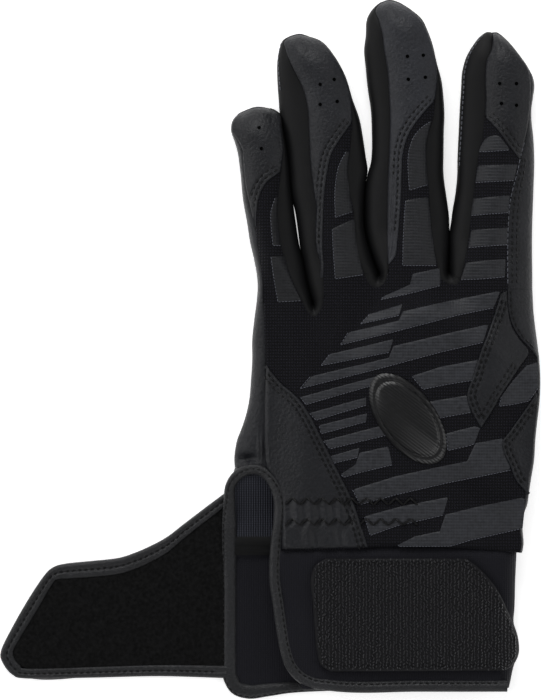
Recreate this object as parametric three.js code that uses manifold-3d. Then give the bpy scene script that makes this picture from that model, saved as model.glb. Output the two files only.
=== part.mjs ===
// A left-hand batting glove lying palm down with its wrist strap laid open, in millimetres.
// +Z is up and +Y points to the fingertips. The origin is on the table, under the middle of the wrist cuff.

import * as THREE from 'three';
import Module from 'manifold-3d';

const { clamp, degToRad, lerp, smoothstep } = THREE.MathUtils;

// Thicknesses of the materials, and the gaps between pieces
const SEAM = 0.35; // left open at every sewn seam
const LOOSE = 0.4; // more room where both pieces of a seam are curved
const LEATHER = 1.0;
const KNIT = 1.2;
const SIDE_CLOTH = 1.3; // strips at the sides of the fingers, measured level
const NEOPRENE = 2.0;
const ELASTIC = 0.9;
const CAP_GAP = 0.9; // along the finger between the knit and the slanting edge of the cap
const CAP_SHIFT = 0.04; // and across it, as a share of the width of the back
const CROTCH_GAP = 1.2; // between two finger stalls at their roots
const ROOT_GAP = 0.8; // between a finger stall and the hand
const PIPING = 2.8; // diameter of the tape that binds the cuff

// Hand, from the wrist seam to the finger roots
const WRIST_SEAM_Y = 24.5;
const HAND_LENGTH = 94.5;
const LITTLE_FINGER_EDGE_X = -39;
const KNUCKLE_TOP = 15;
const EDGE_FALL = 2.6; // how far the back of the hand drops at its two sides
const EDGE_FALL_WIDTH = 16;
const EDGE_FALL_START = 22; // the drop grows over this distance from the wrist
const ROLL_SLOPE = 2.6; // how far the rolled little-finger side slopes in
const ROLL_BULGE = 2;
const SIDE_BULGE = 0.3; // of the leather sides on the thumb side
const CROTCH_DEPTH = 4.4;
const HEM_LAP = 1.6; // how far the back of the hand laps over the cuff
const ELASTIC_WIDTH = 8;
const ELASTIC_END_X = 15;
const BADGE_LENGTH = 36;
const BADGE_WIDTH = 19;
const BADGE_HEIGHT = 1.8;
const BADGE_TURN = -53;

// Cuff
const CUFF_LENGTH = 49;
const CUFF_HEIGHT = 11;
const CUFF_RIGHT_X = 49.8;
const CUFF_TAPER = 2.6; // how far the right side draws in towards the hem
const CUFF_LEFT_X = -48.2;
const SLIT_WIDTH = 17;
const SLIT_BEND = 3.5; // how far the slit widens towards the hem
const SLIT_CORNER = 8; // radius of the corner between slit and hem
const HEM_STEP = 2; // the palm layer reaches this much lower than the back layer
const HOOK_THICKNESS = 1.4;
const HOOK_ROWS = 6;
const HOOK_ROW_HEIGHT = 0.7;
const HOOK_DROOP = 0.03; // per square millimetre past the start of the cuff's round side

// Strap
const STRAP_LENGTH = 73.5;
const STRAP_RISE = 17; // its upper corner above the wrist seam
const STRAP_HEM = 4.8; // its lower edge above the hem
const STRAP_ROOT_GAP = 0.7;
const STRAP_SHELL = 1.2;
const PILE = 1.4;
const STRAP_TAPE = 4.4;
const STRAP_TAPE_HEIGHT = 3.1;

// Thumb, folded flat under the palm
const THUMB_LENGTH = 56;
const THUMB_WIDTH = 25;
const THUMB_HEIGHT = 6.5;
const THUMB_TURN = 145;
const THUMB_ROOT_X = 54.2;
const THUMB_ROOT_Y = 61;
const THUMB_MOUTH = 30; // width of the root, along the side of the hand
const THUMB_DRAPE = 11; // over this distance the palm comes down beside the thumb
const THUMB_MARGIN = 2; // level palm beside the thumb
const THUMB_SWELL = 0.45; // share of the thumb's height that shows on the back of the hand
const THUMB_INSET = 0.6; // of the side strip from the edge of the two faces

// Finger stalls from the little finger to the index finger. Widths are at the root, half way and near the
// tip; a side is how far its strip slopes in, at the root and at the tip; cap is the share of the length
// where the leather cap starts at its left and right edge, and capBend how suddenly it changes.
const FINGER_HEIGHT = 15;
const TIP_HEIGHT = 11.5;
const FINGER_CROWN = 1.6;
const TIP_ROUND = 10;
const TIP_BLUNTNESS = 0.42; // width left at the very end
const VENT = 1.2;
const STRIP_INSET = 0.8; // of a side strip from the edge of the front
const STRIP_BULGE = 0.8;
const STRIP_END = 2.5; // where the side strips stop before the fingertip
const FINGERS = [
  {
    name: 'pinky', length: 68, lean: 7.4, setback: 12.6, widths: [18.4, 16.2, 16.4], bow: -0.4,
    leftSide: [1.8, 1.8], rightSide: [6.5, 3], cap: [0.4, 0.68], capBend: 0.6, vents: [[0, 0.79], [0, 0.9]],
  },
  {
    name: 'ring', length: 83.5, lean: 10, setback: 2.5, widths: [21.4, 24.8, 22.4], bow: 0.4,
    leftSide: [6, 6.5], rightSide: [6, 2], cap: [0.08, 0.64], capBend: 0.45,
    vents: [[-0.3, 0.71], [0.3, 0.72], [-0.3, 0.8], [0.3, 0.81]],
  },
  {
    name: 'middle', length: 91, lean: 4.7, setback: 0, widths: [23.4, 26, 23.4], bow: 0.6,
    leftSide: [6.5, 5.5], rightSide: [6.5, 1.8], cap: [0.07, 0.63], capBend: 0.35,
    vents: [[-0.3, 0.7], [0.3, 0.71], [-0.3, 0.79], [0.3, 0.8]],
  },
  {
    name: 'index', length: 81.5, lean: 0, setback: 0.7, widths: [27.8, 26.4, 22.4], bow: 1.4,
    leftSide: [6.5, 6], rightSide: [9, 1.8], cap: [0.66, 0.47], capBend: 1,
    vents: [[-0.3, 0.7], [0.3, 0.69], [-0.3, 0.78], [0.3, 0.78]],
  },
];

// Sizes that follow from the ones above
const KNUCKLE_Y = WRIST_SEAM_Y + HAND_LENGTH;
const WRIST_TOP = CUFF_HEIGHT + SEAM + KNIT;
const HEM_Y = WRIST_SEAM_Y - CUFF_LENGTH;
const SLIT_RIGHT_X = CUFF_LEFT_X + SLIT_WIDTH;
const ROLL_TOP_X = LITTLE_FINGER_EDGE_X + ROLL_SLOPE;
const STRAP_ROOT_X = CUFF_LEFT_X - PIPING / 2 - STRAP_ROOT_GAP;
const PALM_TOP = LEATHER + SEAM; // where a piece that rests on the flat palm starts

const wasm = await Module();
wasm.setup();

const MATERIALS = {
  leather: { color: 0x2b2b2e, roughness: 0.62 },
  knit: { color: 0x121217, roughness: 0.9 },
  side_cloth: { color: 0x0c0c10, roughness: 0.7 },
  neoprene: { color: 0x131319, roughness: 0.88 },
  tape: { color: 0x1d1d20, roughness: 0.6 },
  hook: { color: 0x0e0e11, roughness: 0.5 },
  pile: { color: 0x050506, roughness: 1 },
  rubber: { color: 0x08080a, roughness: 0.3 },
};
for (const [name, look] of Object.entries(MATERIALS)) {
  MATERIALS[name] = new THREE.MeshStandardMaterial({ ...look, metalness: 0, name });
}

const glove = new THREE.Group();

function add(name, geometry, material, parent = glove) {
  const mesh = new THREE.Mesh(geometry, MATERIALS[material]);
  mesh.name = name;
  parent.add(mesh);
}

// A closed sheet. face(u, v) is a point of its outer side and lining(u, v) the point under it,
// with u across and v along, each from 0 to 1.
function sheet(face, lining, across, along) {
  const columns = across + 1;
  const rows = along + 1;
  const points = [];
  for (const side of [face, lining]) {
    for (let j = 0; j < rows; j++) {
      for (let i = 0; i < columns; i++) {
        points.push(...side(i / across, j / along));
      }
    }
  }
  const vertex = (side, i, j) => (side * rows + j) * columns + i;
  const index = [];
  const quad = (a, b, c, d) => index.push(a, b, c, a, c, d);
  for (let j = 0; j < along; j++) {
    for (let i = 0; i < across; i++) {
      quad(vertex(0, i, j), vertex(0, i + 1, j), vertex(0, i + 1, j + 1), vertex(0, i, j + 1));
      quad(vertex(1, i, j), vertex(1, i, j + 1), vertex(1, i + 1, j + 1), vertex(1, i + 1, j));
    }
  }
  for (let i = 0; i < across; i++) {
    quad(vertex(1, i, 0), vertex(1, i + 1, 0), vertex(0, i + 1, 0), vertex(0, i, 0));
    quad(vertex(0, i, along), vertex(0, i + 1, along), vertex(1, i + 1, along), vertex(1, i, along));
  }
  for (let j = 0; j < along; j++) {
    quad(vertex(0, 0, j), vertex(0, 0, j + 1), vertex(1, 0, j + 1), vertex(1, 0, j));
    quad(vertex(0, across, j + 1), vertex(0, across, j), vertex(1, across, j), vertex(1, across, j + 1));
  }
  return facingOut(points, index);
}

// The indexed geometry, with its triangles turned over if they enclose a negative volume.
function facingOut(points, index) {
  const corner = (k) => new THREE.Vector3().fromArray(points, 3 * index[k]);
  let volume = 0;
  for (let k = 0; k < index.length; k += 3) {
    volume += corner(k).dot(corner(k + 1).cross(corner(k + 2)));
  }
  const turned = volume < 0 ? [...index].reverse() : index;
  const geometry = new THREE.BufferGeometry();
  geometry.setAttribute('position', new THREE.Float32BufferAttribute(points, 3));
  geometry.setIndex(turned);
  return geometry;
}

// A sheet over a plan: plan(u, v) gives x and y, top(x, y) the height of its upper side.
function draped(plan, top, thickness, across, along) {
  const level = (drop) => (u, v) => {
    const [x, y] = plan(u, v);
    return [x, y, top(x, y) - drop];
  };
  return sheet(level(0), level(thickness), across, along);
}

const straight = (from, to) => (t) => [lerp(from[0], to[0], t), lerp(from[1], to[1], t)];

// A smooth plan curve through the points.
function through(points) {
  const curve = new THREE.SplineCurve(points.map(([x, y]) => new THREE.Vector2(x, y)));
  return (t) => curve.getPoint(t).toArray();
}

// The x of a plan curve that climbs steadily, where it passes the height y.
function crossing(curve, y) {
  let low = 0;
  let high = 1;
  while (high - low > 1e-4) {
    const middle = (low + high) / 2;
    if (curve(middle)[1] < y) {
      low = middle;
    } else {
      high = middle;
    }
  }
  return curve(high)[0];
}

// A plan between four edges that meet at its corners: bottom and top run across, left and right along.
function between(bottom, top, left, right) {
  return (u, v) => [0, 1].map((axis) => {
    const across = lerp(bottom(u)[axis], top(u)[axis], v);
    const along = lerp(left(v)[axis], right(v)[axis], u);
    const corners = lerp(
      lerp(bottom(0)[axis], bottom(1)[axis], u),
      lerp(top(0)[axis], top(1)[axis], u),
      v,
    );
    return across + along - corners;
  });
}

// An upright rectangle as a plan.
function rectangle(left, right, low, high) {
  return (u, v) => [lerp(left, right, u), lerp(low, high, v)];
}

function toSolid(geometry) {
  const mesh = new wasm.Mesh({
    numProp: 3,
    vertProperties: geometry.getAttribute('position').array,
    triVerts: new Uint32Array(geometry.getIndex().array),
  });
  return new wasm.Manifold(mesh);
}

function toGeometry(solid) {
  const mesh = solid.getMesh();
  const geometry = new THREE.BufferGeometry();
  geometry.setAttribute('position', new THREE.BufferAttribute(mesh.vertProperties, 3));
  geometry.setIndex(new THREE.BufferAttribute(mesh.triVerts, 1));
  return geometry;
}

// An upright post with an elliptical section, used to cut holes and notches.
function post(x, y, radiusX, radiusY, sides) {
  return wasm.Manifold.cylinder(4 * FINGER_HEIGHT, 1, 1, sides, true)
    .scale([radiusX, radiusY, 1])
    .translate([x, y, 0]);
}

// Places and directions of the finger roots, side by side from the little-finger edge
let rootLeft = LITTLE_FINGER_EDGE_X;
for (const finger of FINGERS) {
  const half = finger.widths[0] / 2;
  const turn = degToRad(finger.lean);
  finger.centre = [rootLeft + half, KNUCKLE_Y - finger.setback];
  finger.across = [Math.cos(turn), Math.sin(turn)];
  finger.forward = [-Math.sin(turn), Math.cos(turn)];
  rootLeft += finger.widths[0] + CROTCH_GAP;
}
const INDEX_EDGE_X = rootLeft - CROTCH_GAP;

// The point of a finger's root line at a sideways offset, set back into the hand by the root gap.
function rootPoint(finger, offset) {
  return [0, 1].map(
    (axis) => finger.centre[axis] + offset * finger.across[axis] - ROOT_GAP * finger.forward[axis],
  );
}

// Thumb outline: the middle line and the edge points at a share of the length
const thumbTurn = degToRad(THUMB_TURN);
const thumbForward = [Math.cos(thumbTurn), Math.sin(thumbTurn)];
const thumbAcross = [Math.sin(thumbTurn), -Math.cos(thumbTurn)];

function thumbEdge(share, side) {
  const settle = smoothstep(share, 0, 0.35);
  const across = new THREE.Vector2(thumbAcross[0] * settle, lerp(1, thumbAcross[1], settle)).normalize();
  const end = clamp((share - 0.8) / 0.2, 0, 1);
  const round = lerp(TIP_BLUNTNESS, 1, Math.sqrt(1 - end * end));
  const half = (lerp(THUMB_MOUTH, THUMB_WIDTH, settle) / 2) * round;
  return [
    THUMB_ROOT_X + thumbForward[0] * share * THUMB_LENGTH + side * half * across.x,
    THUMB_ROOT_Y + thumbForward[1] * share * THUMB_LENGTH + side * half * across.y,
  ];
}

// Height of the underside of the palm, which drapes over the folded thumb.
function palmRise(x, y) {
  const along = (x - THUMB_ROOT_X) * thumbForward[0] + (y - THUMB_ROOT_Y) * thumbForward[1];
  const aside = (x - THUMB_ROOT_X) * thumbAcross[0] + (y - THUMB_ROOT_Y) * thumbAcross[1];
  const past = Math.max(along - THUMB_LENGTH + THUMB_WIDTH / 2, 0);
  const distance = Math.hypot(past, aside) - THUMB_MOUTH / 2 - THUMB_MARGIN;
  return (THUMB_HEIGHT + SEAM + LOOSE) * smoothstep(THUMB_DRAPE - distance, 0, THUMB_DRAPE);
}

// Height of the back of the hand: it climbs from the wrist to the knuckles, swells over the folded thumb
// and drops at its two sides.
function backTop(x, y) {
  const climb = smoothstep(y, WRIST_SEAM_Y, KNUCKLE_Y);
  const side = Math.min(x - ROLL_TOP_X, INDEX_EDGE_X - x) / EDGE_FALL_WIDTH;
  const begin = smoothstep(y, WRIST_SEAM_Y, WRIST_SEAM_Y + EDGE_FALL_START);
  const fall = EDGE_FALL * (1 - smoothstep(side, 0, 1)) * begin;
  return lerp(WRIST_TOP, KNUCKLE_TOP, climb) + THUMB_SWELL * palmRise(x, y) - fall;
}

// Outlines of the hand, from the wrist up
const littleFingerSide = through([
  [CUFF_LEFT_X + 2, WRIST_SEAM_Y],
  [CUFF_LEFT_X + 2, WRIST_SEAM_Y + 20],
  [LITTLE_FINGER_EDGE_X - 6, WRIST_SEAM_Y + 30],
  [LITTLE_FINGER_EDGE_X - 5.4, WRIST_SEAM_Y + 37],
  [LITTLE_FINGER_EDGE_X - 2.2, WRIST_SEAM_Y + 50],
  [LITTLE_FINGER_EDGE_X - 0.8, WRIST_SEAM_Y + 64],
  rootPoint(FINGERS[0], -FINGERS[0].widths[0] / 2),
]);
const thumbSide = through([
  [CUFF_RIGHT_X + 2.2, WRIST_SEAM_Y],
  [CUFF_RIGHT_X + 3.2, WRIST_SEAM_Y + 16],
  [INDEX_EDGE_X + 0.8, WRIST_SEAM_Y + 33],
  [INDEX_EDGE_X + 2, WRIST_SEAM_Y + 52],
  [INDEX_EDGE_X + 2, WRIST_SEAM_Y + 66],
  [INDEX_EDGE_X + 0.6, WRIST_SEAM_Y + 76],
  rootPoint(FINGERS[3], FINGERS[3].widths[0] / 2),
]);

// A line along the finger roots, straight over each finger and each crotch, at shares set by their columns.
const ROOT_COLUMNS = 3;
function rootLine(leftInset, rightInset) {
  const marks = FINGERS.flatMap((finger, k) => {
    const half = finger.widths[0] / 2;
    const left = -half + (k === 0 ? leftInset : 0);
    const right = half - (k === FINGERS.length - 1 ? rightInset : 0);
    const steps = Array.from({ length: ROOT_COLUMNS + 1 }, (_, i) => lerp(left, right, i / ROOT_COLUMNS));
    return steps.map((offset) => rootPoint(finger, offset));
  });
  return (t) => {
    const place = t * (marks.length - 1);
    const first = Math.min(Math.floor(place), marks.length - 2);
    return straight(marks[first], marks[first + 1])(place - first);
  };
}
const ACROSS_HAND = FINGERS.length * (ROOT_COLUMNS + 1) - 1;

const palmPlan = between(
  straight(littleFingerSide(0), thumbSide(0)),
  rootLine(0, 0),
  littleFingerSide,
  thumbSide,
);
add('palm_panel', draped(palmPlan, (x, y) => palmRise(x, y) + LEATHER, LEATHER, ACROSS_HAND, 22), 'leather');

// Back of the hand: the knit panel, and the leather heel panel beside its slanting seam
const heelSeam = [
  [-0.7, WRIST_SEAM_Y - HEM_LAP],
  [-7.5, WRIST_SEAM_Y + 19.7],
  [-15.6, WRIST_SEAM_Y + 33.3],
  [-21.1, WRIST_SEAM_Y + 46.2],
  [-28.4, WRIST_SEAM_Y + 54.4],
  [ROLL_TOP_X + 0.6, WRIST_SEAM_Y + 61.5],
];
const pinkySlope = FINGERS[0].leftSide[0];
const knitLeft = through([...heelSeam, rootPoint(FINGERS[0], -FINGERS[0].widths[0] / 2 + pinkySlope)]);
const indexSlope = FINGERS[3].rightSide[0];
const knitRight = through([
  [CUFF_RIGHT_X + 0.2, WRIST_SEAM_Y - HEM_LAP],
  [CUFF_RIGHT_X + 1.4, WRIST_SEAM_Y + 16],
  [INDEX_EDGE_X - 1.2, WRIST_SEAM_Y + 33],
  [INDEX_EDGE_X, WRIST_SEAM_Y + 52],
  [INDEX_EDGE_X - 1.2, WRIST_SEAM_Y + 65],
  [INDEX_EDGE_X - 0.7 * indexSlope, WRIST_SEAM_Y + 74],
  [INDEX_EDGE_X - indexSlope, WRIST_SEAM_Y + 83],
  rootPoint(FINGERS[3], FINGERS[3].widths[0] / 2 - indexSlope),
]);
const knitPlan = between(
  straight(knitLeft(0), knitRight(0)),
  rootLine(pinkySlope, indexSlope),
  knitLeft,
  knitRight,
);
let backSolid = toSolid(draped(knitPlan, backTop, KNIT, ACROSS_HAND, 14));

const heelRight = (t) => {
  const [x, y] = knitLeft((t * (heelSeam.length - 1)) / heelSeam.length);
  return [x - SEAM - LOOSE, y - SEAM];
};
const heelLeft = through([
  [SLIT_RIGHT_X + PIPING / 2 + SEAM, heelRight(0)[1]],
  [SLIT_RIGHT_X + PIPING / 2 + 2, WRIST_SEAM_Y + 10],
  [SLIT_RIGHT_X + PIPING / 2 + 2, WRIST_SEAM_Y + 17],
  [SLIT_RIGHT_X - 0.6, WRIST_SEAM_Y + 25.5],
  [ROLL_TOP_X + 0.3, WRIST_SEAM_Y + 30],
  [ROLL_TOP_X + 0.2, WRIST_SEAM_Y + 45],
  [ROLL_TOP_X + 0.2, heelRight(1)[1] - 1],
]);
const heelPlan = between(
  straight(heelLeft(0), heelRight(0)),
  straight(heelLeft(1), heelRight(1)),
  heelLeft,
  heelRight,
);
add('heel_panel', draped(heelPlan, backTop, LEATHER, 6, 12), 'leather');

// Elastic inside the wrist, under the heel panel and the knit
const elasticY = WRIST_SEAM_Y + ELASTIC_WIDTH;
const elasticPlan = rectangle(SLIT_RIGHT_X + 4, ELASTIC_END_X, elasticY, elasticY + ELASTIC_WIDTH);
const underKnit = (x, y) => backTop(x, y) - KNIT - SEAM;
add('wrist_elastic', draped(elasticPlan, underKnit, ELASTIC, 8, 2), 'side_cloth');

// A sloping side of the hand between the palm and the back: foot and head are plan curves, inward the side
// the cloth thickens to, and v runs along the part of the curves from start to end.
function handSide(foot, head, start, end, inward, bulge, along) {
  const side = (thickness) => (u, v) => {
    const t = lerp(start, end, v);
    const [footX, footY] = foot(t);
    const [headX, headY] = head(t);
    const rise = Math.max(palmRise(footX, footY), palmRise(footX + inward * SIDE_CLOTH, footY));
    const low = rise + PALM_TOP + LOOSE;
    const high = underKnit(headX, headY) - LOOSE / 2;
    const x = lerp(footX, headX, u) - inward * (bulge * Math.sin(Math.PI * u) - thickness);
    return [x, lerp(footY, headY, u), lerp(low, high, u)];
  };
  return sheet(side(0), side(SIDE_CLOTH), 4, along);
}
const ROLL_START = 0.34; // share of the little-finger outline where the slit ends and the roll begins
const rollFoot = (t) => {
  const [x, y] = littleFingerSide(t);
  return [x + ROLL_SLOPE / 2, y];
};
const rollHead = (t) => [ROLL_TOP_X, littleFingerSide(t)[1]];
add('ulnar_roll', handSide(rollFoot, rollHead, ROLL_START, 1, 1, ROLL_BULGE, 8), 'leather');

const THUMB_MOUTH_TOP = 0.62; // the thumb comes out between these shares of the thumb-side outline
const THUMB_MOUTH_BOTTOM = 0.21;
const sideFoot = (t) => {
  const [x, y] = thumbSide(t);
  return [x - LOOSE, y];
};
const sideHead = (t) => {
  const y = thumbSide(t)[1];
  return [crossing(knitRight, y), y];
};
add('wrist_side_panel', handSide(sideFoot, sideHead, 0, THUMB_MOUTH_BOTTOM, -1, SIDE_BULGE, 4), 'leather');
add('index_root_panel', handSide(sideFoot, sideHead, THUMB_MOUTH_TOP, 1, -1, SIDE_BULGE, 6), 'leather');

// Leather overlays sewn on the knit on the thumb side
const overlayTop = (x, y) => backTop(x, y) + SEAM + LOOSE + LEATHER;
const knuckleLow = straight([32.6, WRIST_SEAM_Y + 51.3], [37.4, WRIST_SEAM_Y + 40.8]);
const knuckleHigh = through([
  [43.6, WRIST_SEAM_Y + 85],
  [46.6, WRIST_SEAM_Y + 77.5],
  [53.6, WRIST_SEAM_Y + 66],
]);
const knucklePlan = between(
  knuckleLow,
  knuckleHigh,
  through([knuckleLow(0), [34.7, WRIST_SEAM_Y + 59], [40.1, WRIST_SEAM_Y + 74], knuckleHigh(0)]),
  through([knuckleLow(1), [40.8, WRIST_SEAM_Y + 46.2], [47.6, WRIST_SEAM_Y + 57], knuckleHigh(1)]),
);
add('knuckle_overlay', draped(knucklePlan, overlayTop, LEATHER, 4, 8), 'leather');

const thumbBaseRight = through([
  [INDEX_EDGE_X - 2.4, WRIST_SEAM_Y + 16.5],
  [INDEX_EDGE_X + 0.4, WRIST_SEAM_Y + 33],
  [INDEX_EDGE_X + 1.6, WRIST_SEAM_Y + 50],
]);
const thumbBasePoint = [45.2, WRIST_SEAM_Y + 34.7];
const thumbBasePlan = between(
  through([thumbBasePoint, [48.3, WRIST_SEAM_Y + 29], thumbBaseRight(0)]),
  through([[thumbBasePoint[0], thumbBasePoint[1] + 1], [51, WRIST_SEAM_Y + 42], thumbBaseRight(1)]),
  straight(thumbBasePoint, [thumbBasePoint[0], thumbBasePoint[1] + 1]),
  thumbBaseRight,
);
add('thumb_base_overlay', draped(thumbBasePlan, overlayTop, LEATHER, 6, 6), 'leather');

// Moulded oval pad on the back: a square grid drawn into an oval, with a low domed top
const BADGE_CENTRE = [12.6, WRIST_SEAM_Y + 44];
const badgeTurn = degToRad(BADGE_TURN);
function badgePoint(u, v) {
  const a = 2 * u - 1;
  const b = 2 * v - 1;
  const along = (BADGE_LENGTH / 2) * a * Math.sqrt(1 - (b * b) / 2);
  const across = (BADGE_WIDTH / 2) * b * Math.sqrt(1 - (a * a) / 2);
  const x = BADGE_CENTRE[0] + along * Math.cos(badgeTurn) - across * Math.sin(badgeTurn);
  const y = BADGE_CENTRE[1] + along * Math.sin(badgeTurn) + across * Math.cos(badgeTurn);
  const dome = lerp(BADGE_HEIGHT, BADGE_HEIGHT / 2, Math.max(a * a, b * b));
  return { x, y, foot: backTop(x, y) + SEAM + LOOSE, dome };
}
const badgeFace = (u, v) => {
  const { x, y, foot, dome } = badgePoint(u, v);
  return [x, y, foot + dome];
};
const badgeFoot = (u, v) => {
  const { x, y, foot } = badgePoint(u, v);
  return [x, y, foot];
};
add('back_badge', sheet(badgeFace, badgeFoot, 8, 6), 'rubber');

// Side cloth where it turns between two fingers: it rises from the crotch to a notch in the back panel
for (let k = 0; k + 1 < FINGERS.length; k++) {
  const [left, right] = [FINGERS[k], FINGERS[k + 1]];
  const leftHalf = left.widths[0] / 2;
  const rightHalf = right.widths[0] / 2;
  const footLine = straight(
    rootPoint(left, leftHalf - STRIP_INSET),
    rootPoint(right, STRIP_INSET - rightHalf),
  );
  const headLine = straight(
    rootPoint(left, leftHalf - left.rightSide[0] + LOOSE),
    rootPoint(right, right.leftSide[0] - LOOSE - rightHalf),
  );
  const side = (back) => (u, v) => {
    const foot = footLine(u);
    const head = headLine(u);
    const dip = CROTCH_DEPTH * Math.sin(Math.PI * u) * v;
    const x = lerp(foot[0], head[0], v);
    const y = lerp(foot[1], head[1], v) - dip - back - SEAM;
    const high = underKnit(head[0], head[1] - CROTCH_DEPTH) - LOOSE;
    return [x, y, lerp(PALM_TOP, high, v)];
  };
  add(`${left.name}_${right.name}_crotch`, sheet(side(0), side(SIDE_CLOTH), 6, 3), 'side_cloth');
  const [notchX, notchY] = headLine(0.5);
  const notchHalf = (headLine(1)[0] - headLine(0)[0]) / 2;
  backSolid = backSolid.subtract(post(notchX, notchY, notchHalf, CROTCH_DEPTH, 16));
}
add('back_panel', toGeometry(backSolid), 'knit');

// Finger stalls, each in a group that stands at its root and leans with the finger
function fingerShape(finger) {
  const [rootWidth, midWidth, tipWidth] = finger.widths;
  const profile = through([[0, rootWidth], [0.5, midWidth], [0.85, tipWidth], [1, 0.94 * tipWidth]]);
  const round = (d) => {
    const past = clamp((d - finger.length + TIP_ROUND) / TIP_ROUND, 0, 1);
    return Math.sqrt(1 - past * past);
  };
  const taper = (d) => lerp(TIP_BLUNTNESS, 1, round(d));
  const width = (d) => profile(d / finger.length)[1] * taper(d);
  const middle = (d) => finger.bow * Math.sin((Math.PI * d) / finger.length);
  const slope = (side, d) => lerp(side[0], side[1], d / finger.length) * taper(d);
  const end = PALM_TOP + LEATHER + LOOSE;
  return {
    left: (d) => middle(d) - width(d) / 2,
    right: (d) => middle(d) + width(d) / 2,
    backLeft: (d) => middle(d) - width(d) / 2 + slope(finger.leftSide, d),
    backRight: (d) => middle(d) + width(d) / 2 - slope(finger.rightSide, d),
    top: (d) => lerp(end, lerp(FINGER_HEIGHT, TIP_HEIGHT, d / finger.length), round(d)),
    crown: (d) => FINGER_CROWN * round(d),
    capStart: (u) => finger.length * lerp(finger.cap[0], finger.cap[1], u ** finger.capBend),
  };
}

// Rows crowd towards the fingertip, where the outline turns fastest.
const crowd = (v) => 1 - (1 - v) ** 1.5;

function addFinger(finger) {
  const shape = fingerShape(finger);
  const stall = new THREE.Group();
  stall.position.set(finger.centre[0], finger.centre[1], 0);
  stall.rotation.z = degToRad(finger.lean);
  glove.add(stall);

  const frontAt = (z) => (u, v) => {
    const d = finger.length * crowd(v);
    return [lerp(shape.left(d), shape.right(d), u), d, z];
  };
  add(`${finger.name}_front`, sheet(frontAt(LEATHER), frontAt(0), 2, 9), 'leather', stall);

  const backAt = (start, end, drop) => (u, v) => {
    const d = lerp(start(u), end(u), crowd(v));
    const edge = 2 * u - 1;
    const z = shape.top(d) - shape.crown(d) * edge * edge;
    return [lerp(shape.backLeft(d), shape.backRight(d), u), d, z - drop];
  };
  const root = () => 0;
  const knitEnd = (u) => Math.min(shape.capStart(u), shape.capStart(Math.max(u - CAP_SHIFT, 0))) - CAP_GAP;
  const tip = () => finger.length;
  const knit = sheet(backAt(root, knitEnd, 0), backAt(root, knitEnd, KNIT), 6, 6);
  add(`${finger.name}_back`, knit, 'knit', stall);

  let cap = toSolid(sheet(backAt(shape.capStart, tip, 0), backAt(shape.capStart, tip, LEATHER), 6, 9));
  for (const [aside, share] of finger.vents) {
    const d = share * finger.length;
    const x = lerp(shape.backLeft(d), shape.backRight(d), (aside + 1) / 2);
    cap = cap.subtract(post(x, d, VENT / 2, VENT / 2, 8));
  }
  add(`${finger.name}_tip_cap`, toGeometry(cap), 'leather', stall);

  const sideAt = (foot, head, inward, thickness) => (u, v) => {
    const d = (finger.length - STRIP_END) * crowd(v);
    const bulge = STRIP_BULGE * Math.sin(Math.PI * u);
    const x = lerp(foot(d), head(d), u) - inward * (bulge - thickness);
    const high = shape.top(d) - shape.crown(d) - KNIT - SEAM - LOOSE;
    return [x, d, lerp(PALM_TOP, high, u)];
  };
  const addSide = (name, foot, head, inward, cloth) => {
    const strip = sheet(sideAt(foot, head, inward, 0), sideAt(foot, head, inward, SIDE_CLOTH), 3, 8);
    add(`${finger.name}_${name}`, strip, cloth, stall);
  };
  const leftFoot = (d) => shape.left(d) + STRIP_INSET;
  const rightFoot = (d) => shape.right(d) - STRIP_INSET;
  addSide('left_side', leftFoot, shape.backLeft, 1, finger === FINGERS[0] ? 'leather' : 'side_cloth');
  addSide('right_side', rightFoot, shape.backRight, -1, finger === FINGERS[3] ? 'leather' : 'side_cloth');
}
FINGERS.forEach(addFinger);

// Thumb: two leather faces and the strip between them, open at the root
const thumbPlan = (u, v) => straight(thumbEdge(crowd(v), -1), thumbEdge(crowd(v), 1))(u);
add('thumb_back', draped(thumbPlan, () => LEATHER, LEATHER, 2, 8), 'leather');
add('thumb_front', draped(thumbPlan, () => THUMB_HEIGHT, LEATHER, 2, 8), 'leather');

// The strip follows the outline from the root round the tip and back. s runs from 0 to 1 round the outline.
const THUMB_SIDE_STEPS = 18;
const THUMB_RUN = 0.47; // share of the outline taken by each of the two long sides
function thumbOutline(s) {
  const along = Math.min(Math.min(s, 1 - s) / THUMB_RUN, 1);
  const across = clamp((s - THUMB_RUN) / (1 - 2 * THUMB_RUN), 0, 1);
  return thumbPlan(across, along);
}
const thumbMiddle = thumbPlan(0.5, 0.45);
const thumbSideAt = (inset) => (u, v) => {
  const [x, y] = thumbOutline(v);
  const toMiddle = new THREE.Vector2(thumbMiddle[0] - x, thumbMiddle[1] - y).normalize();
  const high = THUMB_HEIGHT - LEATHER - SEAM;
  return [x + inset * toMiddle.x, y + inset * toMiddle.y, lerp(PALM_TOP, high, u)];
};
const thumbStripFace = thumbSideAt(THUMB_INSET);
const thumbStripLining = thumbSideAt(THUMB_INSET + SIDE_CLOTH);
add('thumb_side', sheet(thumbStripFace, thumbStripLining, 1, THUMB_SIDE_STEPS), 'leather');

// Ribbed lining and tape seen through the wrist slit
const liningLeft = CUFF_LEFT_X + 2.6;
const liningRight = SLIT_RIGHT_X + 4;
const liningLow = WRIST_SEAM_Y + 5.5;
const liningPlan = rectangle(liningLeft, liningRight, liningLow, liningLow + 20.5);
add('slit_lining', draped(liningPlan, () => PALM_TOP + LEATHER, LEATHER, 2, 2), 'knit');
const tapePlan = rectangle(liningLeft, liningRight, liningLow - 7.5, liningLow - SEAM);
add('slit_tape', draped(tapePlan, () => NEOPRENE + SEAM + LEATHER, LEATHER, 1, 1), 'tape');

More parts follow.
